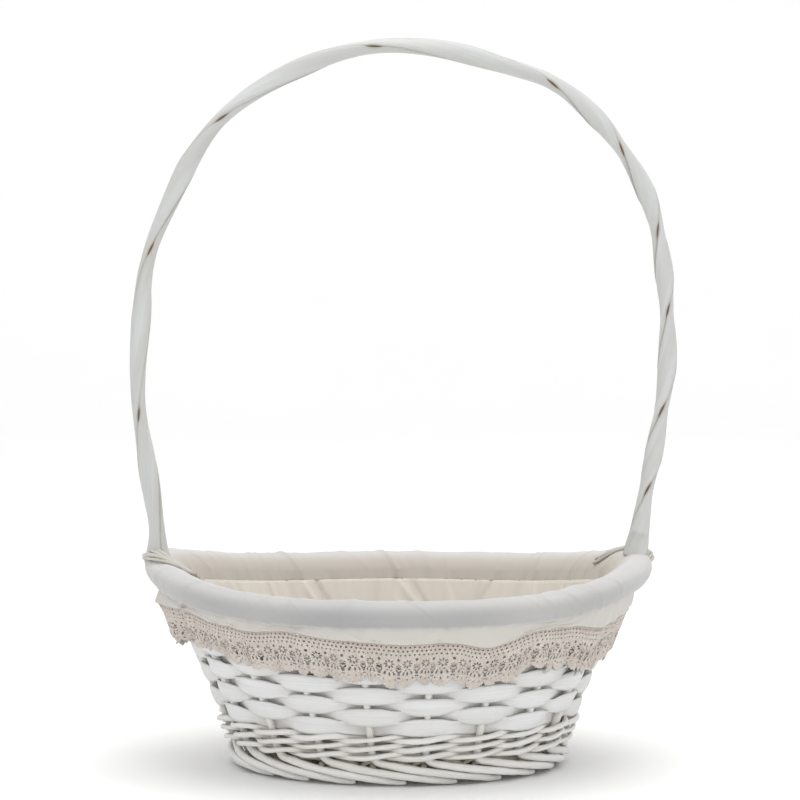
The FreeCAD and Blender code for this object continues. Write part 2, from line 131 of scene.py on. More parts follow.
class Shader:
    """A material's node tree with short ways to add and join nodes."""

    def __init__(self, name):
        self.material = bpy.data.materials.new(name)
        self.material.use_nodes = True
        self.tree = self.material.node_tree
        self.shader = self.tree.nodes["Principled BSDF"]

    def add(self, kind, inputs=(), **settings):
        node = self.tree.nodes.new("ShaderNode" + kind)
        for key, value in settings.items():
            setattr(node, key, value)
        for socket, value in dict(inputs).items():
            if isinstance(value, bpy.types.NodeSocket):
                self.tree.links.new(value, node.inputs[socket])
            else:
                node.inputs[socket].default_value = value
        return node

    def attribute(self, name, output="Vector"):
        return self.add("Attribute", attribute_name=name).outputs[output]

    def noise(self, vector, scale, stretch=(1, 1, 1), detail=3.0, roughness=0.55):
        placed = self.add("Mapping", {"Vector": vector, "Scale": stretch})
        made = self.add("TexNoise", {"Vector": placed.outputs[0], "Scale": scale,
                                     "Detail": detail, "Roughness": roughness})
        return made.outputs["Fac"]

    def remap(self, value, low, high, to_low=0.0, to_high=1.0):
        made = self.add("MapRange", {"Value": value, "From Min": low, "From Max": high,
                                     "To Min": to_low, "To Max": to_high})
        return made.outputs["Result"]

    def math(self, operation, *values):
        return self.add("Math", dict(enumerate(values)), operation=operation).outputs[0]

    def mix(self, part, first, second, blend="MIX"):
        made = self.add("Mix", data_type="RGBA", blend_type=blend)
        for socket, value in ((0, part), (6, first), (7, second)):
            if isinstance(value, bpy.types.NodeSocket):
                self.tree.links.new(value, made.inputs[socket])
            else:
                made.inputs[socket].default_value = value
        return made.outputs[2]

    def bump(self, height, strength, distance):
        inputs = {"Height": height, "Strength": strength, "Distance": distance}
        return self.add("Bump", inputs).outputs["Normal"]

    def finish(self, color, roughness, normal):
        for socket, value in (("Base Color", color), ("Roughness", roughness), ("Normal", normal)):
            self.tree.links.new(value, self.shader.inputs[socket])
        return self.material


def rgb(red, green, blue):
    return (red, green, blue, 1.0)


def painted_wood(name, paint, bare, streaks, streak_depth, gloss):
    """White paint over willow or chip: grain lines along the piece, brush marks and a slightly
    uneven sheen.
    The gap mask brings in the bare wood colour: partly bare wood where the paint is thin, partly
    painted shade in gaps and recesses."""
    made = Shader(name)
    grain = made.attribute("grain")
    fine = made.noise(grain, 1.0, (25, streaks, streaks), 4.0, 0.6)
    broad = made.noise(grain, 1.0, (9, streaks / 6, streaks / 6), 2.0)
    place = made.add("TexCoord").outputs["Object"]
    patches = made.noise(place, 38, detail=2.0)
    tint = made.attribute("tint", "Fac")
    gap = made.attribute("gap", "Fac")
    worn = made.math("MULTIPLY", made.remap(fine, 0.56, 0.74), made.remap(patches, 0.42, 0.68))
    shade = tuple(part * 0.80 for part in paint[:3]) + (1.0,)
    color = made.mix(made.remap(broad, 0.3, 0.75, 0.0, 0.5), paint, shade)
    color = made.mix(made.remap(fine, 0.42, 0.62, 0.0, 0.35), color, shade)
    warm = tuple(0.55 * part + 0.45 * other for part, other in zip(paint[:3], bare[:3])) + (1.0,)
    color = made.mix(made.math("MULTIPLY", tint, 0.45), color, warm)
    color = made.mix(made.math("MULTIPLY", worn, 0.30), color, bare)
    # painted shade and bare wood: gap brings in the bare colour where parts lie in recesses, behind
    # others or at tucked edges
    color = made.mix(gap, color, bare)
    relief = made.math("ADD", made.math("MULTIPLY", fine, 0.7), made.math("MULTIPLY", broad, 0.5))
    normal = made.bump(relief, streak_depth, 0.0004)
    roughness = made.remap(fine, 0.3, 0.8, gloss, gloss + 0.2)
    made.shader.inputs["Specular IOR Level"].default_value = 0.4
    return made.finish(color, roughness, normal)


def bare_willow():
    made = Shader("natural_willow")
    grain = made.attribute("grain")
    fine = made.noise(grain, 1.0, (30, 1500, 1500), 4.0)
    color = made.mix(made.remap(fine, 0.3, 0.7), rgb(0.11, 0.085, 0.06), rgb(0.24, 0.18, 0.125))
    return made.finish(color, made.remap(fine, 0.3, 0.7, 0.55, 0.8), made.bump(fine, 0.5, 0.0003))


LINING_SHADE = rgb(0.53, 0.485, 0.425)


def cotton(name, base, warm, thread, slub=0.5):
    """Plain-woven cotton: two crossed sets of threads, slubs, slight yellowing, and painted shade
    from the tint and gap masks and between the threads.
    """
    made = Shader(name)
    grain = made.attribute("grain")
    across = made.add("TexWave", {"Vector": grain, "Scale": thread, "Distortion": 0.6,
                                  "Detail": 1.0, "Detail Scale": 2.0}, bands_direction="X")
    along = made.add("TexWave", {"Vector": grain, "Scale": thread, "Distortion": 0.6,
                                 "Detail": 1.0, "Detail Scale": 2.0}, bands_direction="Y")
    weave = made.math("MAXIMUM", across.outputs["Fac"], along.outputs["Fac"])
    slubs = made.noise(grain, 1.0, (60, 900, 60), 3.0)
    place = made.add("TexCoord").outputs["Object"]
    cloud = made.noise(place, 22, detail=3.0)
    tint = made.attribute("tint", "Fac")
    color = made.mix(made.remap(cloud, 0.35, 0.7), base, warm)
    # painted shade: tint mixes in the warm shade colour
    color = made.mix(tint, color, LINING_SHADE)
    # painted shade: gap mixes in grey
    color = made.mix(made.attribute("gap", "Fac"), color, rgb(0.36, 0.36, 0.365))
    # painted shade between the threads, where the weave's relief is low
    thread_valley_shade = tuple(part * 0.90 for part in base[:3]) + (1.0,)
    color = made.mix(made.remap(weave, 0.0, 1.0, 0.22, 0.0), color, thread_valley_shade)
    relief = made.math("ADD", weave, made.math("MULTIPLY", slubs, slub))
    normal = made.bump(relief, 0.22, 0.00025)
    made.shader.inputs["Sheen Weight"].default_value = 0.25
    made.shader.inputs["Sheen Roughness"].default_value = 0.4
    made.shader.inputs["Specular IOR Level"].default_value = 0.25
    return made.finish(color, made.remap(slubs, 0.3, 0.7, 0.72, 0.9), normal)


def lace_cotton():
    """Crochet cotton: twisted thread relief, beige, with painted highlights on the raised threads
    and a painted shadow under the hem.
    """
    made = Shader("cotton_lace")
    grain = made.attribute("grain")
    stitches = made.add("TexVoronoi", {"Vector": grain, "Scale": 1500.0}, feature="F1")
    twist = made.add("TexWave", {"Vector": grain, "Scale": 260.0, "Distortion": 7.0,
                                 "Detail": 2.0}, bands_direction="DIAGONAL")
    cloud = made.noise(grain, 1.0, (90, 90, 90), 3.0)
    tint = made.attribute("tint", "Fac")
    raised = made.remap(stitches.outputs["Distance"], 0.0, 0.6, 1.0, 0.0)
    color = made.mix(made.remap(cloud, 0.3, 0.7), rgb(0.58, 0.52, 0.465), rgb(0.66, 0.605, 0.55))
    # painted highlight: the raised parts of the threads are paler
    color = made.mix(made.math("MULTIPLY", raised, 0.35), color, rgb(0.76, 0.71, 0.66))
    # painted shadow: tint darkens the lace under the hem
    color = made.mix(tint, color, rgb(0.38, 0.31, 0.27))
    relief = made.math("ADD", raised, made.math("MULTIPLY", twist.outputs["Fac"], 0.4))
    made.shader.inputs["Sheen Weight"].default_value = 0.3
    made.shader.inputs["Specular IOR Level"].default_value = 0.2
    roughness = made.remap(cloud, 0.3, 0.7, 0.8, 0.95)
    return made.finish(color, roughness, made.bump(relief, 0.8, 0.0004))


def brad_metal():
    made = Shader("brad_steel")
    place = made.add("TexCoord").outputs["Object"]
    fine = made.noise(place, 900, detail=3.0)
    color = made.mix(fine, rgb(0.42, 0.41, 0.40), rgb(0.62, 0.61, 0.60))
    made.shader.inputs["Metallic"].default_value = 1.0
    return made.finish(color, made.remap(fine, 0.3, 0.7, 0.3, 0.5), made.bump(fine, 0.1, 0.0001))


PAINTED_WILLOW = painted_wood("painted_willow", rgb(0.82, 0.82, 0.80), rgb(0.50, 0.43, 0.32),
                              1300, 0.55, 0.42)
# warm willow and painted light: a brighter, warmer copy of the painted willow, for the glow seen
# through the open foot
BASE_WILLOW_AND_PAINTED_GLOW = painted_wood("base_willow_and_painted_glow", rgb(0.96, 0.90, 0.77), rgb(0.82, 0.70, 0.50),
                           1300, 0.5, 0.5)
PAINTED_CHIP = painted_wood("painted_chip", rgb(0.77, 0.775, 0.775), rgb(0.50, 0.44, 0.35),
                            900, 0.45, 0.46)
# painted shade: the same white paint as the body's chip, given a greyer, darker colour for the
# shade on the handle
HANDLE_CHIP_PAINTED_SHADE = painted_wood("handle_chip", rgb(0.60, 0.615, 0.61), rgb(0.36, 0.29, 0.20),
                           1500, 0.8, 0.42)
PAINTED_SKEIN = painted_wood("painted_skein", rgb(0.62, 0.61, 0.57), rgb(0.32, 0.27, 0.18),
                             1600, 0.7, 0.42)
NATURAL_WILLOW = bare_willow()
RIM_COTTON = cotton("rim_cotton", rgb(0.655, 0.647, 0.632), rgb(0.66, 0.645, 0.62), 900)
LINING_COTTON = cotton("lining_cotton", rgb(0.72, 0.68, 0.62), rgb(0.69, 0.635, 0.56), 900)
LACE = lace_cotton()
BRAD = brad_metal()


# ---- mesh tools ----

def add_piece(name, points, faces, material, slot, replaced=(), grain=None, tint=None, gap=None):
    """A mesh object that rides on the basket, with the attributes its material reads."""
    mesh = bpy.data.meshes.new(name)
    mesh.from_pydata(np.asarray(points, float).tolist(), [], faces)
    mesh.update()
    mesh.shade_smooth()
    count = len(points)
    for layer, values in (("tint", tint), ("gap", gap)):
        stored = mesh.attributes.new(layer, "FLOAT", "POINT")
        filled = np.zeros(count) if values is None else np.broadcast_to(values, count)
        stored.data.foreach_set("value", np.ascontiguousarray(filled, dtype=np.float32))
    stored = mesh.attributes.new("grain", "FLOAT_VECTOR", "POINT")
    filled = np.asarray(points if grain is None else grain, dtype=np.float32)
    stored.data.foreach_set("vector", np.ascontiguousarray(filled).ravel())
    mesh.materials.append(material)
    piece = bpy.data.objects.new(name, mesh)
    bpy.context.scene.collection.objects.link(piece)
    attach(piece, "root")
    if replaced:
        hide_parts(*replaced)
    return piece


def grid_faces(rows, columns, closed_rows=False, closed_columns=False):
    """Quads of a grid of points stored row by row."""
    row_count = rows if closed_rows else rows - 1
    column_count = columns if closed_columns else columns - 1
    row = np.arange(row_count)[:, None]
    column = np.arange(column_count)[None, :]
    next_row, next_column = (row + 1) % rows, (column + 1) % columns
    quads = np.stack(np.broadcast_arrays(row * columns + column, next_row * columns + column,
                                         next_row * columns + next_column,
                                         row * columns + next_column), axis=-1)
    return quads.reshape(-1, 4).tolist()


def tube_faces(rows, columns, turned=True):
    """Faces of a tube made of rings, with a cap at each end."""
    faces = grid_faces(rows, columns, closed_columns=True)
    faces.append(list(range(columns)))
    faces.append([(rows - 1) * columns + corner for corner in reversed(range(columns))])
    return [face[::-1] for face in faces] if turned else faces


class Batch:
    """Several like rods gathered into one mesh."""

    def __init__(self):
        self.points, self.faces, self.grain, self.tint, self.gap = [], [], [], [], []
        self.count = 0

    def add(self, points, faces, grain, tint=0.0, gap=0.0):
        self.faces += [[corner + self.count for corner in face] for face in faces]
        self.points.append(points)
        self.grain.append(grain)
        self.tint.append(np.broadcast_to(tint, len(points)))
        self.gap.append(np.broadcast_to(gap, len(points)))
        self.count += len(points)

    def piece(self, name, material, slot, replaced=()):
        return add_piece(name, np.concatenate(self.points), self.faces, material, slot, replaced,
                         np.concatenate(self.grain), np.concatenate(self.tint),
                         np.concatenate(self.gap))


def directions(path):
    step = np.gradient(path, axis=0)
    return step / np.linalg.norm(step, axis=1)[:, None]


def side_frames(path, first_side):
    """(forward, side, up) along a path, turned as little as possible from point to point."""
    forward = directions(path)
    side = np.zeros_like(path)
    current = np.asarray(first_side, float)
    for place in range(len(path)):
        current = current - forward[place] * (current @ forward[place])
        current = current / np.linalg.norm(current)
        side[place] = current
    return forward, side, np.cross(forward, side)


def distances(path):
    steps = np.linalg.norm(np.diff(path, axis=0), axis=1)
    return np.concatenate([[0], np.cumsum(steps)])


def add_rod(batch, path, radius, seed=0, sides=12, first_side=(0.3, 0.2, 1), tint=0.0, gap=0.0,
            roughness=0.05):
    """A round willow rod: slightly uneven, flattened here and there, with rounded cut ends."""
    draw = np.random.default_rng(seed)
    length = distances(path)
    radius = np.broadcast_to(radius, len(path)).astype(float).copy()
    for wave_length in (0.021, 0.047, 0.009):
        radius *= 1 + roughness * 0.6 * np.sin(2 * pi * length / wave_length + draw.uniform(0, 6.3))
    forward, side, up = side_frames(path, first_side)
    spin = np.arange(sides) * 2 * pi / sides
    flat = 1 + roughness * np.cos(2 * spin[None, :] + 2 * pi * length[:, None] / 0.06)
    reach = radius[:, None] * flat
    ring = (path[:, None] + side[:, None] * (reach * np.cos(spin))[..., None]
            + up[:, None] * (reach * np.sin(spin))[..., None])
    # rounded ends
    ends = []
    for index, sign in ((0, -1), (-1, 1)):
        inward = ring[index] - path[index]
        ends.append(path[index] + inward * 0.72 + forward[index] * sign * radius[index] * 0.35)
    ring = np.concatenate([ends[0][None], ring, ends[1][None]])
    along = np.concatenate([[length[0]], length, [length[-1]]])
    rows = len(ring)
    grain = np.stack([np.repeat(along, sides) + draw.uniform(0, 5),
                      np.tile(np.cos(spin), rows) * np.mean(radius),
                      np.tile(np.sin(spin), rows) * np.mean(radius) + draw.uniform(0, 5)], axis=-1)
    faces = tube_faces(rows, sides)
    per_point = [np.repeat(np.concatenate([[v[0]], v, [v[-1]]]), sides)
                 for v in (np.broadcast_to(tint, len(path)), np.broadcast_to(gap, len(path)))]
    batch.add(ring.reshape(-1, 3), faces, grain, *per_point)


def spline(points, per_span=8):
    """A smooth line through given points (Catmull-Rom)."""
    points = np.asarray(points, float)
    ends = np.concatenate([[2 * points[0] - points[1]], points, [2 * points[-1] - points[-2]]])
    part = np.linspace(0, 1, per_span, endpoint=False)[:, None]
    pieces = []
    for before, start, end, after in zip(ends, ends[1:], ends[2:], ends[3:]):
        pieces.append(0.5 * (2 * start + (end - before) * part
                             + (2 * before - 5 * start + 4 * end - after) * part ** 2
                             + (3 * start - before - 3 * end + after) * part ** 3))
    return np.concatenate(pieces + [points[-1:]])


# ---- willow uprights ----

FOOT_HEIGHT = 12 * MM
STAKE_TOP = RIM_HEIGHT + 1 * MM
FLOOR_TOUCH = 1.95              # millimetres up, the centre of a stake that lies on the floor
# A stake's run along the foot: (stakes passed, height, distance out), in millimetres.
FOOT_RUN = [(0.02, 15.5, 0.1), (0.12, 12.9, 0.4), (0.34, 11.4, 1.4), (0.75, 9.6, 3.2),
            (1.25, 7.4, 4.6), (1.75, 5.2, 4.2), (2.2, 3.4, 2.6), (2.5, FLOOR_TOUCH, 1.2),
            (2.65, FLOOR_TOUCH, 0.6)]


def stake_path(number, draw):
    """Down the wall, round a tight bend, then along the foot border to its end."""
    angle = stake_angle(number)
    heights = np.linspace(STAKE_TOP, FOOT_HEIGHT + 7 * MM, 40)
    down = wall(angle + 0.004 * np.sin(heights * 90 + number), heights)
    places = [wall(angle + passed * STEP + draw.uniform(-0.008, 0.008), height * MM, out * MM)
              for passed, height, out in FOOT_RUN]
    return np.concatenate([down, spline(np.array(places), 7)])


def make_stakes():
    for number in range(STAKES):
        draw = np.random.default_rng(100 + number)
        path = stake_path(number, draw)
        length = distances(path)
        radius = STAKE_RADIUS * (1.0 - 0.10 * length / length[-1])
        radius = radius * (1 - 0.25 * smooth_step(length, length[-1] - 0.012, length[-1]))
        up = path[:, 2]
        # painted shade and bare wood: the stakes are darker and warmer at the foot's bend and up
        # the wall behind the chips
        gap = 0.12 * smooth_step(-up, -0.019, -0.013) * smooth_step(up, 0.006, 0.013)
        gap = gap + 0.25 * (up > 0.02)
        batch = Batch()
        add_rod(batch, path, radius, 100 + number, 14, tint=draw.uniform(0, 0.6), gap=gap)
        points = np.concatenate(batch.points)
        points[:, 2] = np.maximum(points[:, 2], 0)
        batch.points = [points]
        name = "%02d" % (number + 1)
        batch.piece("willow_stake_" + name, PAINTED_WILLOW, "painted_willow",
                    ["side_stake_" + name])


# ---- chip weavers ----

CHIP_WIDTH = 10.3 * MM
CHIP_PINCH = 7.3 * MM           # its width where it turns through the wall
CHIP_MIDDLE = 4.9 * MM          # from a CAD weaver's lower edge to its middle
CHIP_STATIONS = 14              # along each gap between two stakes
CHIP_ACROSS = np.linspace(-1, 1, 9)
CHIP_CUP = 0.75 * MM            # how much a chip's edges curl in beside its middle
CHIP_UNEVEN_WIDTH = 0.35 * MM
CHIP_UNEVEN_HEIGHT = 0.3 * MM
CHIP_UNEVEN_TILT = 0.28 * MM
WEAVER_END_GAP = 0.06           # left between a chip's two ends, counted in stakes
PASSED_ROOT = 0.68              # part of a gap after which a weaver has passed the root
HANDLE_ROOT_HEIGHT = 55 * MM


def weaver_turn(position, height):
    """How far a weaver has turned through the wall, in half turns, at a place counted in
    stakes. Beside a handle root it stays on its side until it has passed the root."""
    gap = np.floor(position)
    part = position - gap
    middle = (stake_angle(gap) + STEP / 2) % pi
    past_root = (part - PASSED_ROOT) / (1 - PASSED_ROOT)
    if height > HANDLE_ROOT_HEIGHT:
        part = np.where(abs(middle - pi / 2) < 0.01, np.maximum(0, past_root), part)
    return gap + part


def chip_row_height(row):
    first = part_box("chip_weaver_01")[0][2] + CHIP_MIDDLE
    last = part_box("chip_weaver_%02d" % CHIP_ROWS)[0][2] + CHIP_MIDDLE
    return first + (last - first) * row / (CHIP_ROWS - 1)


def make_chip_weaver(row):
    """One flat strip woven in front of every other stake: widest and a little cupped over
    the stake, pinched and twisted where it turns through the wall."""
    draw = np.random.default_rng(300 + row)
    middle = chip_row_height(row)
    count = STAKES * CHIP_STATIONS
    position = BACK_STAKE + np.linspace(0, STAKES - WEAVER_END_GAP, count)
    angle = stake_angle(0) + position * STEP
    turn = weaver_turn(position, middle)
    swing = np.cos(pi * (turn + row))
    knots = np.arange(BACK_STAKE, BACK_STAKE + STAKES + 1)

    def uneven(size):
        values = draw.uniform(-size, size, len(knots))
        return np.interp(position, knots, values)

    full = 1 - np.abs(np.sin(pi * (turn + row))) ** 5
    width = CHIP_PINCH + (CHIP_WIDTH - CHIP_PINCH) * full + uneven(CHIP_UNEVEN_WIDTH) * full
    height = middle + uneven(CHIP_UNEVEN_HEIGHT) * full
    tilt = uneven(CHIP_UNEVEN_TILT) + 0.5 * MM * np.sin(2 * pi * (turn + row)) * (1 - full)
    out_at = (STAKE_RADIUS + CHIP_THICKNESS / 2 + np.where(swing > 0, 0.3, -0.2) * MM) * swing
    cup = -CHIP_CUP * np.sign(swing) * full - 0.9 * MM * (1 - full) * np.sign(uneven(1.0))
    v = CHIP_ACROSS[None, :]
    heights = height[:, None] + v * width[:, None] / 2
    centre = out_at[:, None] + cup[:, None] * v ** 2 + tilt[:, None] * v
    edge = 1 - 0.5 * np.abs(v) ** 6
    half = CHIP_THICKNESS / 2 * edge
    outer = wall(angle[:, None], heights, centre + half)
    inner = wall(angle[:, None], heights, centre - half)
    loop = np.concatenate([outer, inner[:, ::-1]], axis=1)
    columns = loop.shape[1]
    along = distances(outer[:, 4])
    across = np.concatenate([CHIP_ACROSS, CHIP_ACROSS[::-1]])
    grain = np.stack(np.broadcast_arrays((along + draw.uniform(0, 5))[:, None],
                                         across[None, :] * CHIP_WIDTH / 2 + row * 0.1,
                                         np.zeros((count, columns))), axis=-1)
    side = np.repeat([1, -1], len(CHIP_ACROSS))[None, :]
    # painted shade and bare wood: the faces that turn in behind the stakes, and the strip's edges,
    # take the bare colour
    hidden = smooth_step(-swing[:, None] * side, -0.45, 0.15)
    rim = 0.14 * np.abs(across[None, :]) ** 8
    gap = np.clip(0.12 * hidden + rim * (1 - hidden), 0, 1)
    tint = np.broadcast_to(0.25 + uneven(0.35)[:, None], (count, columns))
    faces = tube_faces(count, columns)
    name = "%02d" % (row + 1)
    add_piece("chip_strip_" + name, loop.reshape(-1, 3), faces, PAINTED_CHIP, "painted_chip",
              ["chip_weaver_" + name], grain.reshape(-1, 3), np.clip(tint, 0, 1).ravel(),
              gap.ravel())


# ---- twined rods ----

WALE_OUT = STAKE_RADIUS + WALE_RADIUS + 1.6 * CLEARANCE
WALE_SWING = WALE_RADIUS + 0.15 * MM    # up and down, as the two rods pass each other
WALE_SHOWN_RADIUS = 1.5 * MM


def make_wale_row(row):
    """A pair of thin rods twined round the stakes: one in front while the other is behind."""
    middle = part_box("wale_row_%d" % (row + 1))[0][2] + WALE_SWING + WALE_RADIUS
    batch = Batch()
    for side in (0, 1):
        draw = np.random.default_rng(500 + 10 * row + side)
        position = BACK_STAKE + np.linspace(0.0, STAKES - 0.08, STAKES * 14)
        twist = pi * (position - BACK_STAKE + side + row)
        angle = stake_angle(0) + position * STEP
        rise = WALE_SWING * np.sin(twist)
        uneven = waves(angle, (11, 17, 29), 520 + 10 * row + side) * 0.22 * MM
        path = wall(angle, middle + rise + uneven, WALE_OUT * np.cos(twist))
        # painted shade and bare wood: each rod is darker and warmer where it passes behind the
        # stakes
        gap = 0.30 * smooth_step(-np.cos(twist), -0.35, 0.3)
        radius = WALE_SHOWN_RADIUS * (1 + 0.12 * waves(angle, (3, 7), 540 + 10 * row + side))
        add_rod(batch, path, radius, 560 + 10 * row + side, 10, tint=draw.uniform(0, 0.7), gap=gap)
    batch.piece("twined_rods_%d" % (row + 1), PAINTED_WILLOW, "painted_willow",
                ["wale_row_%d" % (row + 1)])


# ---- rim ----

CAP_ROD_RADIUS = 2.5 * MM
CAP_ROD_STOP = 0.06             # angle left free for the handle at each end of the oval


def ring_path(height, out, start=0.0, sweep=2 * pi - 0.01, count=240):
    angle = start + np.linspace(0, sweep, count)
    return wall(angle, height, out)


def make_rim():
    hoop_out = STAKE_RADIUS + HOOP_RADIUS + CLEARANCE
    for name, sign in (("rim_inner_hoop", -1), ("rim_outer_hoop", 1)):
        batch = Batch()
        path = ring_path(HOOP_HEIGHT, sign * hoop_out, 0.3)
        add_rod(batch, path, HOOP_RADIUS * 0.96, 600 + sign, 12)
        batch.piece(name + "_rod", PAINTED_WILLOW, "painted_willow", [name])
    batch = Batch()
    height = STAKE_TOP + CLEARANCE + CAP_ROD_RADIUS
    for start in (-pi / 2, pi / 2):
        path = ring_path(height, 0, start + CAP_ROD_STOP, pi - 2 * CAP_ROD_STOP, 120)
        add_rod(batch, path, CAP_ROD_RADIUS - 0.1 * MM, 610, 12)
    batch.piece("rim_cap_rods", PAINTED_WILLOW, "painted_willow", ["rim_top_rods"])
    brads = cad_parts["handle_brads"]
    brads.data.materials.clear()
    brads.data.materials.append(BRAD)


# ---- handle ----

# The bow's route from root to root, as in the frame.
HANDLE_ROUTE = [
    (-111, 64), (-121, 87.2), (-130.8, 108.5), (-134.8, 128), (-141, 172), (-146.5, 206),
    (-143.5, 252), (-140, 286), (-126, 318), (-110, 349), (-90, 370), (-56, 390), (-16, 402.5),
    (22, 401), (58, 391), (88, 381.5), (112, 361), (136, 328), (146.5, 294), (150.5, 250),
    (150.5, 222), (145.5, 187), (138, 150), (134.5, 126), (130.8, 108.5), (121, 87.2), (111, 64),
]
# Where a slit between the two ribbons faces the front, as (x, z): half a turn lies between two.
FRONT_SLITS = [
    (-145, 196), (-144, 290), (-102, 366), (-13, 402), (87, 383), (124, 345), (144, 300),
    (150, 256), (146, 200), (138, 155),
]
WRAP_FOOT = RIM_HEIGHT + END_RISE + 7.6 * MM
RIBBON_HALF_LONG = 4.95 * MM    # of the handle's section, along the line of its two rods
RIBBON_HALF_SHORT = 3.85 * MM   # and square to it
RIBBON_FLARE_LONG = 2.4 * MM    # how much the ribbons spread at the handle's feet
RIBBON_FLARE_OUT = 6.2 * MM
RIBBON_FLARE_IN = 0.3 * MM
RIBBON_THICKNESS = 0.75 * MM
RIBBON_LAP = 0.30 * MM
SLIT_TURN = 0.16                # radians that an edge draws back at a slit
EDGE_OVERLAP = 0.07             # radians that the edges overlap elsewhere


def quadratic_spline(points, per_span):
    """A smooth line that stays inside the corners of its points."""
    points = np.asarray(points, float)
    part = np.linspace(0, 1, per_span, endpoint=False)[:, None]
    pieces = [points[0] + (points[1] - points[0]) / 2 * part]
    for before, corner, after in zip(points, points[1:], points[2:]):
        start, end = (before + corner) / 2, (corner + after) / 2
        pieces.append(start * (1 - part) ** 2 + corner * 2 * part * (1 - part) + end * part ** 2)
    last = (points[-2] + points[-1]) / 2
    pieces.append(last + (points[-1] - last) * part)
    return np.concatenate(pieces + [points[-1:]])


def even_steps(path, spacing):
    length = distances(path)
    places = np.linspace(0, length[-1], int(length[-1] / spacing) + 1)
    return np.stack([np.interp(places, length, path[:, axis]) for axis in range(3)], axis=1)


def handle_line():
    route = np.array([(x * MM, 0, z * MM) for x, z in HANDLE_ROUTE])
    return even_steps(quadratic_spline(route, 12), 1.6 * MM)


def handle_frames():
    """(path, length so far, long way, short way, nearness to a slit) along the bow."""
    path = handle_line()
    length = distances(path)
    slits = []
    for x, z in FRONT_SLITS:
        nearest = np.argmin(np.hypot(path[:, 0] - x * MM, path[:, 2] - z * MM))
        slits.append(length[nearest])
    half_turns = np.arange(len(slits)) * pi + pi / 2
    known = [0, 0.07 * length[-1]] + slits + [0.95 * length[-1], length[-1]]
    angles = [-pi / 2, -pi / 2] + list(half_turns) + [half_turns[-1] + pi] * 2
    twist = np.interp(length, known, angles)
    smooth = np.ones(19) / 19
    padded = np.concatenate([np.full(9, twist[0]), twist, np.full(9, twist[-1])])
    twist = np.convolve(padded, smooth, "valid")
    forward = directions(path)
    normal = np.stack([forward[:, 2], 0 * forward[:, 0], -forward[:, 0]], axis=1)
    sideways = np.array([0, 1.0, 0])
    long_way = normal * np.cos(twist)[:, None] + sideways * np.sin(twist)[:, None]
    short_way = np.cross(forward, long_way)
    open_at = np.zeros((2, len(path)))
    for number, place in enumerate(slits):
        # odd and even slits are on opposite edges of the ribbons
        open_at[number % 2] += np.exp(-((length - place) / (5 * MM)) ** 2)
    return path, length, long_way, short_way, open_at


def make_handle():
    path, length, long_way, short_way, open_at = handle_frames()
    for side, letter in ((-1, "a"), (1, "b")):
        batch = Batch()
        core = path + long_way * side * CORE_OFFSET
        add_rod(batch, core, CORE_RADIUS, 700 + side, 14, first_side=(0, 1, 0))
        batch.piece("core_rod_" + letter, NATURAL_WILLOW, "natural_willow",
                    ["handle_core_rod_" + letter])
    shown = path[:, 2] > WRAP_FOOT - 1.5 * MM
    first, last = np.flatnonzero(shown)[[0, -1]]
    keep = slice(first, last + 1)
    path, length = path[keep], length[keep]
    long_way, short_way, open_at = long_way[keep], short_way[keep], open_at[:, keep]
    for side, letter in ((-1, "a"), (1, "b")):
        make_ribbon(side, letter, path, length, long_way, short_way, open_at)


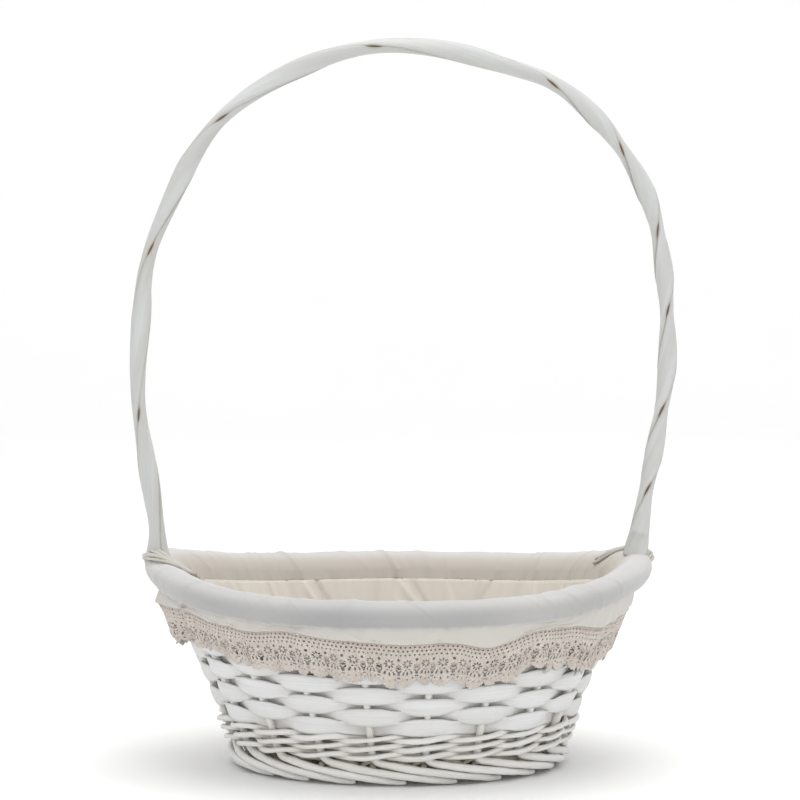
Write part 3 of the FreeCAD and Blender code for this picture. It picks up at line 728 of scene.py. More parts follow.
def make_ribbon(side, letter, path, length, long_way, short_way, open_at):
    """Half of the handle's skin: a chip ribbon folded lengthwise over the two core rods."""
    draw = np.random.default_rng(720 + side)
    columns = 21
    spread = np.linspace(-1, 1, columns)
    above = path[:, 2] - WRAP_FOOT
    foot = np.clip(1 - above / (24 * MM), 0, 1.1) ** 2
    size = 1 + 0.035 * np.sin(2 * pi * length / 0.083 + side) + 0.025 * np.sin(length / 0.0071)
    # at the handle's feet the outer ribbon is spread over the roll
    faces_out = short_way[:, 0] * side * np.sign(path[:, 0]) > 0
    flare = np.where(faces_out, RIBBON_FLARE_OUT, RIBBON_FLARE_IN)
    half_long = (RIBBON_HALF_LONG * size + RIBBON_FLARE_LONG * foot)[:, None]
    half_short = (RIBBON_HALF_SHORT * size + flare * foot)[:, None]
    # each edge draws back where a slit gapes; +spread is the +long edge when side is +1
    edge_low = (SLIT_TURN * open_at[0 if side > 0 else 1] - EDGE_OVERLAP)[:, None]
    edge_high = (SLIT_TURN * open_at[1 if side > 0 else 0] - EDGE_OVERLAP)[:, None]
    start, stop = -pi / 2 + edge_low, pi / 2 - edge_high
    lean = start + (stop - start) * (spread[None, :] + 1) / 2
    flutes = sum(size * np.sin(count * spread[None, :] + draw.uniform(0, 6)
                               + 2.5 * np.sin(length[:, None] / 0.05 + count))
                 for count, size in ((9, 0.05 * MM), (17, 0.05 * MM), (31, 0.03 * MM)))
    lift = flutes + 0.20 * MM * np.exp(-((np.abs(spread[None, :]) - 1) / 0.12) ** 2)
    # one edge laps over the other ribbon and the other edge goes under it
    lap = RIBBON_LAP * spread[None, :] * np.abs(spread[None, :]) ** 5
    rounding = np.sign(np.cos(lean)) * np.abs(np.cos(lean)) ** 0.8

    def surface(shrink):
        long_part = (half_long - shrink + lap) * np.sin(lean) * side
        body = half_short - shrink + lap + (lift if shrink == 0 else 0)
        short_part = body * rounding * side
        return (path[:, None] + long_way[:, None] * long_part[..., None]
                + short_way[:, None] * short_part[..., None])

    outer, inner = surface(0), surface(RIBBON_THICKNESS)
    loop = np.concatenate([outer, inner[:, ::-1]], axis=1)
    rows, wide = loop.shape[:2]
    across = np.concatenate([spread, spread[::-1]])
    grain = np.stack(np.broadcast_arrays(length[:, None] + side, across[None, :] * 7 * MM,
                                         np.zeros((rows, wide))), axis=-1)
    # painted shade and bare wood: the ribbon's edges take the bare colour, more so where a slit
    # gapes
    near_edge = np.abs(across[None, :]) ** 10 * 0.5
    gape = np.concatenate([open_at.max(axis=0)[:, None]] * wide, axis=1)
    gap = np.clip(near_edge * (0.5 + gape), 0, 1)
    tint = 0.3 + 0.3 * np.sin(length[:, None] / 0.02 + 3 * across[None, :] + side)
    faces = tube_faces(rows, wide, turned=side < 0)
    add_piece("chip_ribbon_" + letter, loop.reshape(-1, 3), faces, HANDLE_CHIP_PAINTED_SHADE, "painted_chip",
              ["handle_chip_wrap_" + letter], grain.reshape(-1, 3), tint.ravel(), gap.ravel())


SKEIN_RADIUS = 1.0 * MM
SKEIN_REACH = 10.3 * MM         # from the hoops' middle to a skein
SKEIN_TUCK = 2.0 * MM           # how deep a skein's start lies in the roll


def make_lashing(end, strands, sweep, name, node):
    """Willow skeins that fan out from the handle's foot and run along the roll while they
    cross it, to end at its inner edge. sweep is how far round the oval they run."""
    batch = Batch()
    part = np.linspace(0, 1, 70)
    for number in range(strands):
        draw = np.random.default_rng(740 + number + 10 * end)
        lean_start = radians(34 + 13 * number)
        lean_end = radians(132 + 8 * number)
        lean = lean_start + (lean_end - lean_start) * part ** 1.5
        angle = end * pi / 2 + sweep * part - 0.05 + 0.012 * number
        angle = angle + 0.008 * np.sin(2 * pi * part * draw.uniform(0.7, 1.4) + number)
        tucked = SKEIN_TUCK * (1 - smooth_step(part, 0, 0.12))
        reach = SKEIN_REACH + 0.4 * MM * (number % 2) - tucked
        lean = lean + radians(3) * np.sin(2 * pi * part * draw.uniform(0.8, 1.6) + 2 * number)
        height = HOOP_HEIGHT + (reach - 0.6 * MM) * np.sin(lean)
        path = wall(angle, height, reach * np.cos(lean))
        radius = SKEIN_RADIUS * draw.uniform(0.85, 1.15) * (1 - 0.2 * part)
        # painted shade: the last stretch, where the skein goes in at the roll's inner edge, turns
        # to the bare colour
        gap = 0.10 + 0.8 * smooth_step(part, 0.94, 1.0)
        add_rod(batch, path, radius, 760 + number, 10, tint=draw.uniform(0, 0.7), gap=gap,
                roughness=0.12)
    batch.piece(name, PAINTED_SKEIN, "painted_skein", [node])


# ---- base ----

LONG_STICKS = (-11, 0, 11)      # where the sticks lie across the oval, in millimetres,
CROSS_STICKS = range(-42, 43, 14)       # and along it
LONG_STICK_RADIUS = 1.0 * MM
CROSS_STICK_RADIUS = 1.9 * MM
STICK_INSET = 1.2 * MM
CROSS_STICK_INSET = 5.4 * MM
ROUND_INSET = 4.6 * MM
ROUND_PITCH = 5.4 * MM
ROUND_BULGE = 1.35 * MM         # how far two paired rods swing apart between the sticks


def make_base():
    height = node_middle("base_long_sticks")[0][2]
    along_full = np.polyval(PROFILE, height)
    inset = STAKE_RADIUS + STICK_INSET
    along, across = along_full - inset, OVAL_RATIO * along_full - inset
    long_batch, cross_batch = Batch(), Batch()
    long_places = np.array(LONG_STICKS) * MM
    cross_places = np.array(CROSS_STICKS) * MM
    for number, y in enumerate(long_places):
        reach = along * np.sqrt(1 - (y / across) ** 2)
        x = np.linspace(-reach, reach, 60)
        path = np.stack([x, y + 0 * x, height + 0 * x], 1)
        add_rod(long_batch, path, LONG_STICK_RADIUS, 800 + number, 8)
    for number, x in enumerate(cross_places):
        reach = across * np.sqrt(1 - (x / along) ** 2) - CROSS_STICK_INSET
        y = np.linspace(-reach, reach, 60)
        path = np.stack([x + 0 * y, y, height + 0 * y], 1)
        add_rod(cross_batch, path, CROSS_STICK_RADIUS, 820 + number, 12, tint=0.4)
    long_batch.piece("base_rods_long", BASE_WILLOW_AND_PAINTED_GLOW, "painted_willow", ["base_long_sticks"])
    cross_batch.piece("base_rods_cross", BASE_WILLOW_AND_PAINTED_GLOW, "painted_willow", ["base_cross_sticks"])
    for group, name in enumerate(("outer", "middle", "inner")):
        batch = Batch()
        for number in (2 * group, 2 * group + 1):
            add_base_round(batch, number, along_full, height, long_places, cross_places)
        batch.piece("base_rounds_" + name, BASE_WILLOW_AND_PAINTED_GLOW, "painted_willow",
                    ["base_weave_" + name])


def add_base_round(batch, number, along_full, height, long_places, cross_places):
    """Two thin rods woven over and under the base sticks."""
    inset = STAKE_RADIUS + ROUND_INSET + number * ROUND_PITCH
    along, across = along_full - inset, OVAL_RATIO * along_full - inset
    crossings = list(np.arcsin(cross_places / along))
    crossings += [pi - angle for angle in crossings]
    for y in long_places:
        angle = np.arccos(-y / across)
        crossings += [angle, -angle]
    crossings = np.sort(np.array(crossings) % (2 * pi))
    knots = np.concatenate([crossings, [crossings[0] + 2 * pi]])
    swing = CROSS_STICK_RADIUS + WALE_RADIUS + 2 * CLEARANCE
    for side in (0, 1):
        angle = np.linspace(knots[0], knots[-1] - 0.02, 300)
        turn = np.interp(angle, knots, np.arange(len(knots)))
        over = np.cos(pi * (turn + side + number))
        bulge = ROUND_BULGE * np.sin(pi * (turn + side + number)) * np.where(turn % 2 < 1, 1, -1)
        path = np.stack([(along + bulge) * np.sin(angle), -(across + bulge) * np.cos(angle),
                         height + swing * over], axis=1)
        add_rod(batch, path, WALE_RADIUS, 840 + 2 * number + side, 8,
                tint=0.2 + 0.15 * (number % 3), gap=0.15)


# ---- cloth ----

HEM_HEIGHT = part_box("rim_cover")[0][2]
SEAM_HEIGHT = HOOP_HEIGHT - 5.7 * MM
SEAM_OUT = 9.0 * MM             # inside the stakes
ROLL_HALF_WIDTH = 9.5 * MM
ROLL_HALF_HEIGHT = 8.5 * MM
HEM_OUT = 7.4 * MM
COVER_STEPS = 740               # points round the oval, in the rim cover
LINING_STEPS = 1000             # and in the lining's side
PADDING_SINK = 0.25 * MM        # how deep the cotton may sink between its creases
LINING_OUT = -6.7 * MM          # where the lining hangs, from the stakes' centrelines,
LINING_TOP_LEAN = 2.7 * MM      # how much further in its top leans to meet the seam,
LINING_NEAREST = -5.2 * MM      # and the nearest it comes to the weave
LINING_LAP = 0.3 * MM           # of the lining's top over the rim cover's seam
LINING_BELLY = 1.2 * MM

# Places, in degrees, where the lining is caught up in long slanting folds that run on over
# the inside of the roll: (angle, slant, height in millimetres).
CAUGHT_FOLDS = [(-152, -0.35, 3.2), (-156, -0.40, -1.6), (-180, -0.55, 3.0), (176, -0.45, -1.6),
                (166, -0.25, 1.6), (152, 0.30, -1.3), (138, -0.30, 1.6), (124, 0.20, 1.5)]
SMALL_RIBS = range(-146, -118, 4)
# Where the hem lifts or dips: (angle, width in degrees, lift in millimetres).
HEM_LIFTS = [(-92, 20, 1.2), (-54, 22, 4.8), (-23, 7, 4.0), (-50, 4, -0.8), (-42, 5, -1.2),
             (-31, 5, 1.2), (-20, 5, -1.0), (-8, 6, 0.8), (3, 5, -1.0), (21, 6, -3.6),
             (37, 7, 3.4), (46, 6, 1.7), (62, 7, -3.4)]
# Clear wrinkles on the roll: (angle, slant, height in millimetres).
PULLED_CREASES = [(27, 0.24, 0.6), (30, 0.26, -0.6), (33, 0.27, 0.75), (37, 0.30, -0.5),
                  (41, 0.26, 0.6), (52, 0.2, 0.5), (-62, -0.2, 0.6), (-56, -0.22, -0.4),
                  (-48, -0.2, 0.5), (-24, -0.24, 0.45), (-5, 0.3, 0.4), (9, 0.25, -0.35)]


def shell_piece(name, surface, inward, material, replaced, grain, tint, gap):
    """A closed sheet of cotton: surface is a grid of points, inward unit directions."""
    rows, columns = surface.shape[:2]
    back = surface + inward * CLOTH
    loop = np.concatenate([surface, back[:, ::-1]], axis=1)
    faces = grid_faces(rows, 2 * columns, closed_rows=True, closed_columns=True)
    double = np.concatenate([grain, grain[:, ::-1]], axis=1)
    shades = [np.concatenate([values, values[:, ::-1]], axis=1).ravel()
              for values in (tint, gap + 0 * tint)]
    return add_piece(name, loop.reshape(-1, 3), faces, material, "liner_cotton", replaced,
                     double.reshape(-1, 3), *shades)


def grid_normals(surface):
    """Unit normals of a grid that closes on itself along its rows."""
    along = np.roll(surface, -1, axis=0) - np.roll(surface, 1, axis=0)
    across = np.gradient(surface, axis=1)
    normal = np.cross(along, across)
    return normal / np.linalg.norm(normal, axis=2)[..., None]


def ridges(angle, depth, folds):
    """Soft folds on a band. Each is (angle, slant, half width, height): slant is how far the
    fold has moved round by the band's far edge, and depth runs from 0 to 1 across the band."""
    total = np.zeros(np.broadcast(angle, depth).shape)
    for place, slant, width, height in folds:
        away = (angle - place - slant * depth + pi) % (2 * pi) - pi
        total = total + height * np.exp(-(away / width) ** 2)
    return total


def near_angle(angle, degrees_at, width):
    """A smooth bump of height 1 round one place of the oval, its width in degrees."""
    away = (angle - radians(degrees_at) + pi) % (2 * pi) - pi
    return np.exp(-(away / radians(width)) ** 2)


def hem_wave(angle):
    """The hem is not sewn level: it lifts and dips a little round the basket."""
    total = 0.5 * MM * waves(angle, (9, 14, 23), 41)
    return total + sum(lift * MM * near_angle(angle, place, width)
                       for place, width, lift in HEM_LIFTS)


def hem_out(angle):
    """How far out the skirt's hem hangs: it flutters, and stands well off at the left end."""
    flutter = 0.6 * MM * waves(angle, (29, 47, 67), 36)
    return HEM_OUT + flutter + 4.0 * MM * near_angle(angle, -88, 15)


def roll_creases():
    """Slanting wrinkles where the cotton is drawn over the roll: small ones all round, and
    a few clear ones where it is pulled hardest, at the front right and by the handle."""
    draw = np.random.default_rng(31)
    creases = []
    for _ in range(70):
        creases.append((draw.uniform(0, 2 * pi), draw.uniform(-0.30, 0.30),
                        draw.uniform(0.007, 0.020), draw.uniform(-0.35, 0.45) * MM))
    for degrees_at, slant, height in PULLED_CREASES:
        creases.append((radians(degrees_at), slant, 0.009, height * MM))
    return creases


def make_rim_cover():
    """Cotton sewn under the roll inside, drawn over the padding and left hanging outside."""
    count = COVER_STEPS
    angle = np.linspace(0, 2 * pi, count, endpoint=False)[:, None]
    creases = roll_creases()
    # inside, up from the seam: the cloth is nearly upright and puckered by its stitches
    seam_part = np.linspace(0, 1, 9)[None, :-1]
    roll_part = np.linspace(0, 1, 44)[None, :]
    lean = pi - radians(180 + 56) * roll_part
    lumps = 0.30 * MM * waves(angle, (7, 13, 19, 31), 33)
    puckers = 0.2 * MM * waves(angle, (83, 121, 167), 34)
    lower = 0.30 * MM * waves(angle, (57, 91, 133), 35) * smooth_step(roll_part, 0.86, 1.0)
    ribs = 0.40 * MM * waves(angle, (23, 37, 53), 37) * smooth_step(-roll_part, -0.35, 0)
    inner = 1 - smooth_step(roll_part, 0.30, 0.48)
    caught = [(radians(place), -slant * 0.35, 0.020, 0.60 * size * MM)
              for place, slant, size in CAUGHT_FOLDS]
    caught += [(radians(place), 0.0, 0.014, 0.6 * MM) for place in SMALL_RIBS]
    swell = lumps + ribs + lower + ridges(angle, roll_part, creases)
    swell = swell + pleats(angle, roll_part, caught) * inner
    # the cotton never sinks into the hoops under it
    above = swell + PADDING_SINK
    swell = (above + np.sqrt(above ** 2 + (0.2 * MM) ** 2)) / 2 - PADDING_SINK
    out = (ROLL_HALF_WIDTH + swell) * np.cos(lean)
    height = HOOP_HEIGHT + (ROLL_HALF_HEIGHT + swell) * np.sin(lean)
    seam_out = -SEAM_OUT - puckers * (1 - seam_part) ** 2
    seam_out = seam_out + (out[:, :1] + SEAM_OUT) * seam_part ** 0.7
    seam_rise = SEAM_HEIGHT + (HOOP_HEIGHT - SEAM_HEIGHT) * seam_part + 0 * angle
    # outside, the skirt below the roll stands away a little towards its hem
    skirt_part = np.linspace(0, 1, 15)[None, 1:]
    hem = HEM_HEIGHT + hem_wave(angle)
    drawn = 0.9 * ridges(angle, 1 - skirt_part, creases) * skirt_part
    skirt_out = out[:, -1:] + (hem_out(angle) - out[:, -1:]) * skirt_part ** 0.7 + drawn
    skirt_height = height[:, -1:] + (hem - height[:, -1:]) * skirt_part
    surface = wall(angle, np.concatenate([seam_rise, height, skirt_height], axis=1),
                   np.concatenate([seam_out, out, skirt_out], axis=1))
    normal = grid_normals(surface)
    along = angle * 0.12 + 0 * surface[..., 0]
    across = np.cumsum(np.linalg.norm(np.diff(surface, axis=1, prepend=surface[:, :1]), axis=2), 1)
    grain = np.stack([along, across, 0 * along], axis=-1)
    # painted shade: the seam band and the roll's inner face get the lining's shade colour; the
    # skirt gets some of it, warmer and darker
    inside = 1 - smooth_step(roll_part, 0.10, 0.34)
    inner_shade_and_skirt_warmth = np.concatenate([1 + 0 * seam_part, inside, 0.38 + 0 * skirt_part], axis=1) + 0 * angle
    # painted shade: a grey band under the roll, weaker towards the oval's ends
    under = 0.18 + 0.28 * smooth_step(roll_part, 0.25, 0.45)
    under = under + 0.40 * smooth_step(roll_part, 0.50, 0.78)
    under = under * (1 - 0.7 * smooth_step(roll_part, 0.90, 1.0))
    roll_painted_shade = np.concatenate([0.15 + 0 * seam_part, under, 0 * skirt_part], axis=1)
    roll_painted_shade = roll_painted_shade * (1 + 0.12 * waves(angle, (3, 5, 11), 38)) * (1 - 0.6 * np.sin(angle) ** 6)
    piece = shell_piece("cotton_rim_cover", surface, normal, RIM_COTTON, ["rim_cover"], grain,
                        inner_shade_and_skirt_warmth, np.clip(roll_painted_shade, 0, 1))
    round_it = distances(wall(angle[:, 0], HOOP_HEIGHT))[-1]


def lining_folds():
    """Gathers all round, small ribs at the back left, and the caught-up folds.
    Each fold is (angle, slant, half width, depth)."""
    draw = np.random.default_rng(51)
    folds = []
    for number in range(46):
        place = 2 * pi * (number + draw.uniform(-0.4, 0.4)) / 46
        folds.append((place, draw.uniform(-0.12, 0.12), draw.uniform(0.015, 0.04),
                      draw.uniform(-1.0, 1.2) * MM))
    folds += [(radians(place), 0.02, 0.018, 1.3 * MM) for place in SMALL_RIBS]
    folds += [(radians(place), slant, 0.026, size * MM) for place, slant, size in CAUGHT_FOLDS]
    return folds


def pleats(angle, depth, folds):
    """Like ridges, but each fold has one steep side, as cloth that is laid over itself."""
    total = np.zeros(np.broadcast(angle, depth).shape)
    for place, slant, width, height in folds:
        away = ((angle - place - slant * depth + pi) % (2 * pi) - pi) / width
        total = total + height * np.exp(-away ** 2) / (1 + np.exp(-6 * away))
    return total


def make_lining_wall():
    """The lining's side, gathered into the seam under the roll and slack below it."""
    count = LINING_STEPS
    angle = np.linspace(0, 2 * pi, count, endpoint=False)[:, None]
    depth = np.linspace(0, 1, 44)[None, :]
    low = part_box("lining_floor")[0][2] + 0.9 * MM
    height = (SEAM_HEIGHT + LINING_LAP) + (low - SEAM_HEIGHT) * depth
    folds = pleats(angle, depth, lining_folds())
    gathers = 0.25 * MM * waves(angle, (71, 103, 149), 52) * np.exp(-depth / 0.12)
    belly = LINING_BELLY * np.sin(pi * depth) * (1 + 0.5 * waves(angle, (5, 9), 53))
    strength = 0.12 + 0.88 * np.sin(pi * np.clip(depth * 0.95 + 0.03, 0, 1)) ** 0.7
    base_out = LINING_OUT - LINING_TOP_LEAN * np.exp(-depth / 0.22)
    out = base_out - belly - folds * strength - gathers
    surface = wall(angle, height, np.minimum(out, LINING_NEAREST))
    normal = grid_normals(surface)
    along = angle * 0.11 + 0 * surface[..., 0]
    grain = np.stack([along, depth * 0.08 + 0 * along, 0 * along], axis=-1)
    shade = np.clip(0.1 + 0.4 * depth - folds / (4 * MM), 0, 1)
    piece = shell_piece("cotton_lining_wall", surface, -normal, LINING_COTTON, ["lining_wall"],
                        grain, shade, 0.0)


def make_lining_floor():
    low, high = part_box("lining_floor")
    count, rings = 240, 40
    angle = np.linspace(0, 2 * pi, count, endpoint=False)[:, None]
    part = np.linspace(0.0, 1, rings)[None, :]
    x = high[0] * part * np.sin(angle)
    y = -high[1] * part * np.cos(angle)
    draw = np.random.default_rng(61)
    swell = 0.9 * MM * (1 - part ** 4)
    for number in range(9):
        lean, shift = draw.uniform(0, pi), draw.uniform(-0.04, 0.04)
        away = x * np.cos(lean) + y * np.sin(lean) - shift
        ridge = draw.uniform(-0.5, 0.5) * MM * np.exp(-(away / (6 * MM)) ** 2)
        swell = swell + ridge * (1 - part ** 4)
    surface = np.stack([x, y, low[2] + CLOTH + 0.6 * MM + swell], axis=-1)
    down = np.broadcast_to(np.array([0, 0, -1.0]), surface.shape)
    back = surface + down * CLOTH
    loop = np.concatenate([surface[:, 1:], back[:, :0:-1]], axis=1)
    wide = loop.shape[1]
    points = np.concatenate([loop.reshape(-1, 3), surface[:1, 0], back[:1, 0]])
    faces = []
    for row in range(count):
        following = (row + 1) % count
        for column in range(wide - 1):
            faces.append([row * wide + column, row * wide + column + 1,
                          following * wide + column + 1, following * wide + column])
        faces.append([row * wide, following * wide, count * wide])
        faces.append([row * wide + wide - 1, count * wide + 1, following * wide + wide - 1])
    # painted shade: the whole floor gets the lining's shade colour at 0.45
    piece = add_piece("cotton_lining_floor", points, faces, LINING_COTTON, "liner_cotton",
                      ["lining_floor"], points, np.full(len(points), 0.45))


# ---- lace ----

LACE_REPEAT = 9.4 * MM          # one scallop
LACE_DEPTH = 26.5 * MM
LACE_REPEATS = 78
LACE_THICKNESS = 0.5 * MM
LACE_CELL = 0.40 * MM
LACE_PANELS = 6
LACE_BEHIND_HEM = 1.7 * MM
LACE_TUCK = 1.6 * MM            # how far the lace runs up behind the hem
LACE_NEAREST = 4.15 * MM        # the nearest it comes to the stakes' centrelines


def lace_pattern(u, v):
    """Above zero where there is thread. u is 0 to 1 along one repeat, v is metres down from
    the header: a close header, two rows of eyelets, petals round a boss, and a fan edge."""
    x = (u - 0.5) * LACE_REPEAT
    field = np.full(np.broadcast(u, v).shape, 1.0 * MM)

    def petal(cx, cy, lean, reach, length, width):
        """An oval hole that points away from (cx, cy)."""
        nonlocal field
        along_x, along_y = np.sin(lean), np.cos(lean)
        for shift in (-LACE_REPEAT, 0, LACE_REPEAT):
            dx, dy = x - cx - shift, v - cy
            down, side = dx * along_x + dy * along_y - reach, dx * along_y - dy * along_x
            away = (np.hypot(down / length, side / width) - 1) * min(length, width)
            field = np.minimum(field, away)

    def hole(cx, cy, half_wide, half_deep):
        petal(cx, cy, 0, 0, half_deep, half_wide)

    for number in range(4):
        cx = (number - 1.5) * LACE_REPEAT / 4
        hole(cx, 3.3 * MM, 0.50 * MM, 0.50 * MM)
        hole(cx + LACE_REPEAT / 8, 5.5 * MM, 0.52 * MM, 0.58 * MM)
        hole(cx, 7.8 * MM, 0.45 * MM, 0.55 * MM)
    # a flower under every scallop, and a small wheel between two
    flower = 12.9 * MM
    for number in range(8):
        petal(0, flower, 2 * pi * number / 8, 1.75 * MM, 0.85 * MM, 0.42 * MM)
    for number in range(6):
        petal(LACE_REPEAT / 2, 14.6 * MM, 2 * pi * number / 6, 1.15 * MM, 0.55 * MM, 0.36 * MM)
    hole(LACE_REPEAT / 2, 10.6 * MM, 0.75 * MM, 0.80 * MM)
    hole(LACE_REPEAT / 2, 18.4 * MM, 0.80 * MM, 1.0 * MM)
    # ribs of the fan, and small loops along its edge
    for number in range(7):
        lean = radians(22 * (number - 3))
        petal(0, flower, lean, 5.6 * MM, 1.25 * MM, 0.42 * MM)
    for number in range(9):
        lean = radians(17 * (number - 4))
        petal(0, flower, lean, 9.2 * MM, 0.62 * MM, 0.36 * MM)
    edge = LACE_DEPTH - 4.0 * MM * (2 * np.abs(u - 0.5)) ** 2.2
    picots = 0.5 * MM * np.cos(2 * pi * 7 * (u - 0.5))
    return np.minimum(field, edge + picots - v)


def marching_quads(u, v, field):
    """Polygons of the part of a grid where field is above zero, cut along its zero line."""
    rows, columns = field.shape
    points, index, faces = [], {}, []

    def corner(i, j):
        key = (i, j)
        if key not in index:
            index[key] = len(points)
            points.append((u[i], v[j]))
        return index[key]

    def crossing(i, j, m, n):
        key = (i, j, m, n) if (i, j) < (m, n) else (m, n, i, j)
        if key not in index:
            first, second = field[i, j], field[m, n]
            part = np.clip(first / (first - second), 0.02, 0.98)
            index[key] = len(points)
            points.append((u[i] + (u[m] - u[i]) * part, v[j] + (v[n] - v[j]) * part))
        return index[key]

    for i in range(rows - 1):
        for j in range(columns - 1):
            around = ((i, j), (i + 1, j), (i + 1, j + 1), (i, j + 1))
            inside = [field[place] > 0 for place in around]
            if not any(inside):
                continue
            face = []
            for place in range(4):
                here, following = around[place], around[(place + 1) % 4]
                if inside[place]:
                    face.append(corner(*here))
                if inside[place] != inside[(place + 1) % 4]:
                    face.append(crossing(*here, *following))
            faces.append(face)
    return np.array(points), faces


def lace_place(along, down, lift=0.0):
    """Where a point of the lace lies. along is the angle round the basket, down is metres
    below the hem line: it is sewn just behind the hem, ruffled more and more towards its
    edge, and is crumpled up at the left end."""
    part = down / LACE_DEPTH
    crumple = near_angle(along, -68, 26)
    ruffle = (0.95 * waves(along, (33, 47, 71), 81) + 0.5 * waves(along, (97, 131), 82)) * MM
    deep = 1.3 * MM * waves(along, (19, 27), 83)
    out = hem_out(along) - LACE_BEHIND_HEM - 0.6 * MM * part + 1.25 * (ruffle + deep) * part ** 0.9
    out = out + crumple * 1.8 * MM * np.sin(along * 58 + 9 * part) * part
    shorten = 1 - 0.26 * crumple * part - 0.05 * waves(along, (23, 31), 84) * part
    shift = 0.010 * waves(along, (29, 43), 85) * part
    bow = 0.7 * MM * waves(along, (13, 21), 86) * part
    height = HEM_HEIGHT + LACE_TUCK + hem_wave(along) - down * shorten * 0.97 + bow
    return wall(along + shift, height, np.maximum(out, LACE_NEAREST) + lift)


def make_lace():
    """The lace is real openwork: one repeat of the pattern is cut out, then laid round."""
    cells_along = int(round(LACE_REPEAT / LACE_CELL))
    cells_down = int(round((LACE_DEPTH + 1 * MM) / LACE_CELL))
    u = np.linspace(0, 1, cells_along + 1)
    v = np.linspace(0, LACE_DEPTH + 1 * MM, cells_down + 1)
    field = lace_pattern(u[:, None], v[None, :])
    flat, faces = marching_quads(u, v, field)
    each = LACE_REPEATS // LACE_PANELS
    edge_uses = {}
    for face in faces:
        for first, second in zip(face, face[1:] + face[:1]):
            edge_uses[(first, second)] = True
    on_left = {i for i, point in enumerate(flat) if point[0] < 1e-9}
    on_right = {i for i, point in enumerate(flat) if point[0] > 1 - 1e-9}
    rims = [(a, b) for a, b in edge_uses if (b, a) not in edge_uses
            and not (a in on_left and b in on_left) and not (a in on_right and b in on_right)]
    left_end = [edge for edge in edge_uses if set(edge) <= on_left]
    right_end = [edge for edge in edge_uses if set(edge) <= on_right]
    left_by_height = {round(flat[i][1] * 1e7): i for i in on_left}
    match = {i: left_by_height[round(flat[i][1] * 1e7)] for i in on_right}
    size = len(flat)
    lace_angle = 2 * pi / LACE_REPEATS
    for panel in range(LACE_PANELS):
        start = panel * each
        along, down = [], []
        for repeat in range(each):
            along.append((start + repeat + flat[:, 0]) * lace_angle + pi)
            down.append(flat[:, 1])
        along, down = np.concatenate(along), np.concatenate(down)
        front = lace_place(along, down, LACE_THICKNESS)
        back = lace_place(along, down)
        total = len(front)

        def place(repeat, corner):
            if corner in match and repeat < each - 1:
                return (repeat + 1) * size + match[corner]
            return repeat * size + corner

        made = []
        for repeat in range(each):
            for face in faces:
                outer = [place(repeat, corner) for corner in face]
                made.append(outer)
                made.append([corner + total for corner in reversed(outer)])
            ends = (left_end if repeat == 0 else []) + (right_end if repeat == each - 1 else [])
            for first, second in rims + ends:
                a, b = place(repeat, first), place(repeat, second)
                made.append([b, a, a + total, b + total])
        used = sorted({corner for face in made for corner in face})
        renumber = np.full(2 * total, -1)
        renumber[used] = np.arange(len(used))
        points = np.concatenate([front, back])[used]
        made = [[int(renumber[corner]) for corner in face] for face in made]
        flat_places = np.stack([along * 0.115, down, 0 * down], axis=1)
        grain = np.concatenate([flat_places, flat_places])[used]
        header = np.concatenate([down, down])[used]
        # painted shadow under the hem, darkest at the lace's top
        shade = 0.85 * np.exp(-(header / (3.4 * MM)) ** 2) + 0.05
        piece = add_piece("lace_panel_%d" % (panel + 1), points, made, LACE, "cotton_lace",
                          ["lace_trim"], grain, shade)


# ---- stitches ----

THREAD_RADIUS = 0.2 * MM
STITCH_PART = 0.55              # how much of a stitch's length shows

def stitch_line(name, place, count, seed):
    """A row of running stitches: each is a short thread that dips into the cloth at its ends.
    place(angle, lift) gives a point on the cloth."""
    batch = Batch()
    draw = np.random.default_rng(seed)
    for number in range(count):
        start = 2 * pi * (number + draw.uniform(-0.06, 0.06)) / count
        angle = start + np.linspace(0, 2 * pi / count * STITCH_PART, 5)
        lift = np.array([-0.25, 0.12, 0.2, 0.12, -0.25]) * MM
        add_rod(batch, place(angle, lift), THREAD_RADIUS, seed + number, 5)
    batch.piece(name, LINING_COTTON, "liner_cotton")


def make_stitches():
    def inner_seam(angle, lift):
        return wall(angle, SEAM_HEIGHT + 0.9 * MM, -7.75 * MM - lift)

    def hem(angle, lift):
        return wall(angle, HEM_HEIGHT + 1.3 * MM + hem_wave(angle), 6.75 * MM + lift)

    stitch_line("seam_stitches", inner_seam, 190, 900)
    stitch_line("hem_stitches", hem, 230, 1200)


# ---- stage ----

FLOOR_RADIUS = 2.1
SWEEP_RADIUS = 0.9
BACKDROP_TOP = 1.6
FLOOR_SIDES = 96


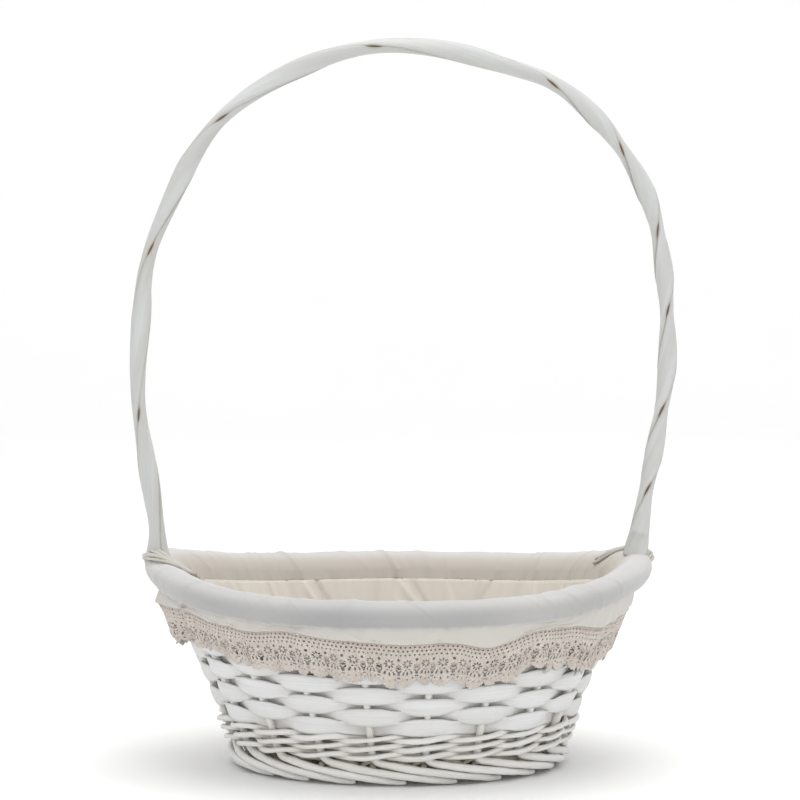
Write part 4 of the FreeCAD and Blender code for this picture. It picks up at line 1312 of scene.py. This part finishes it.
def make_floor():
    """A pale round studio floor that sweeps up all round in one smooth curve."""
    made = Shader("pale_floor")
    place = made.add("TexCoord").outputs["Object"]
    cloud = made.noise(place, 3.0)
    color = made.mix(cloud, rgb(0.93, 0.93, 0.928), rgb(0.95, 0.95, 0.948))
    made.finish(color, made.remap(cloud, 0.3, 0.7, 0.85, 0.95), made.bump(cloud, 0.02, 0.001))
    outline = [(FLOOR_RADIUS + SWEEP_RADIUS * np.sin(turn), SWEEP_RADIUS * (1 - np.cos(turn)))
               for turn in np.linspace(0, pi / 2, 24)]
    outline.append((FLOOR_RADIUS + SWEEP_RADIUS, BACKDROP_TOP))
    around = np.arange(FLOOR_SIDES) * 2 * pi / FLOOR_SIDES
    corners = [(reach * np.sin(turn), reach * np.cos(turn), height)
               for turn in around for reach, height in outline]
    faces = grid_faces(FLOOR_SIDES, len(outline), closed_rows=True)
    faces.append([side * len(outline) for side in reversed(range(FLOOR_SIDES))])
    mesh = bpy.data.meshes.new("pale_floor")
    mesh.from_pydata(corners, [], faces)
    mesh.shade_smooth()
    mesh.materials.append(made.material)
    floor = bpy.data.objects.new("pale_floor", mesh)
    floor.location.z = -0.2 * MM
    bpy.context.scene.collection.objects.link(floor)


def add_softbox(name, place, aim, width, power):
    light = bpy.data.lights.new(name, "AREA")
    light.size = width
    light.energy = power
    box = bpy.data.objects.new(name, light)
    box.location = place
    box.rotation_euler = (Vector(aim) - Vector(place)).to_track_quat("-Z", "Y").to_euler()
    bpy.context.scene.collection.objects.link(box)


SKY_STRENGTH = 0.92
LENS = 147.8                    # millimetres, for a sensor 36 mm wide
CAMERA_PLACE = (0.00095, -1.83, 0.355)
CAMERA_PITCH = 4.7              # degrees down


def make_studio():
    scene = bpy.context.scene
    scene.view_settings.view_transform = "Standard"
    make_floor()
    world = bpy.data.worlds.new("studio")
    scene.world = world
    world.use_nodes = True
    sky = world.node_tree.nodes["Background"]
    sky.inputs["Color"].default_value = rgb(1.0, 1.0, 1.0)
    sky.inputs["Strength"].default_value = SKY_STRENGTH
    add_softbox("overhead", (0.1, -0.15, 1.4), (0, 0, 0.1), 0.9, 6.5)
    add_softbox("front_fill", (0.2, -2.4, 0.3), (0, 0, 0.05), 1.0, 7.0)
    add_softbox("backdrop_wash", (0, 0.9, 2.6), (0, 3.0, 0.9), 1.5, 9.0)

    camera_data = bpy.data.cameras.new("camera")
    camera_data.lens = LENS
    camera_data.sensor_width = 36.0
    camera_data.clip_end = 30
    camera = bpy.data.objects.new("camera", camera_data)
    camera.location = CAMERA_PLACE
    camera.rotation_euler = (radians(90 - CAMERA_PITCH), 0, 0)
    scene.collection.objects.link(camera)
    scene.camera = camera


make_studio()
make_stakes()
for row in range(CHIP_ROWS):
    make_chip_weaver(row)
for row in range(WALE_ROWS):
    make_wale_row(row)
make_rim()
make_handle()
make_lashing(-1, 6, 0.52, "lashing_skeins_left", "handle_lashing_left")
make_lashing(1, 5, 0.40, "lashing_skeins_right", "handle_lashing_right")
make_base()
make_rim_cover()
make_lining_wall()
make_lining_floor()
make_lace()
make_stitches()
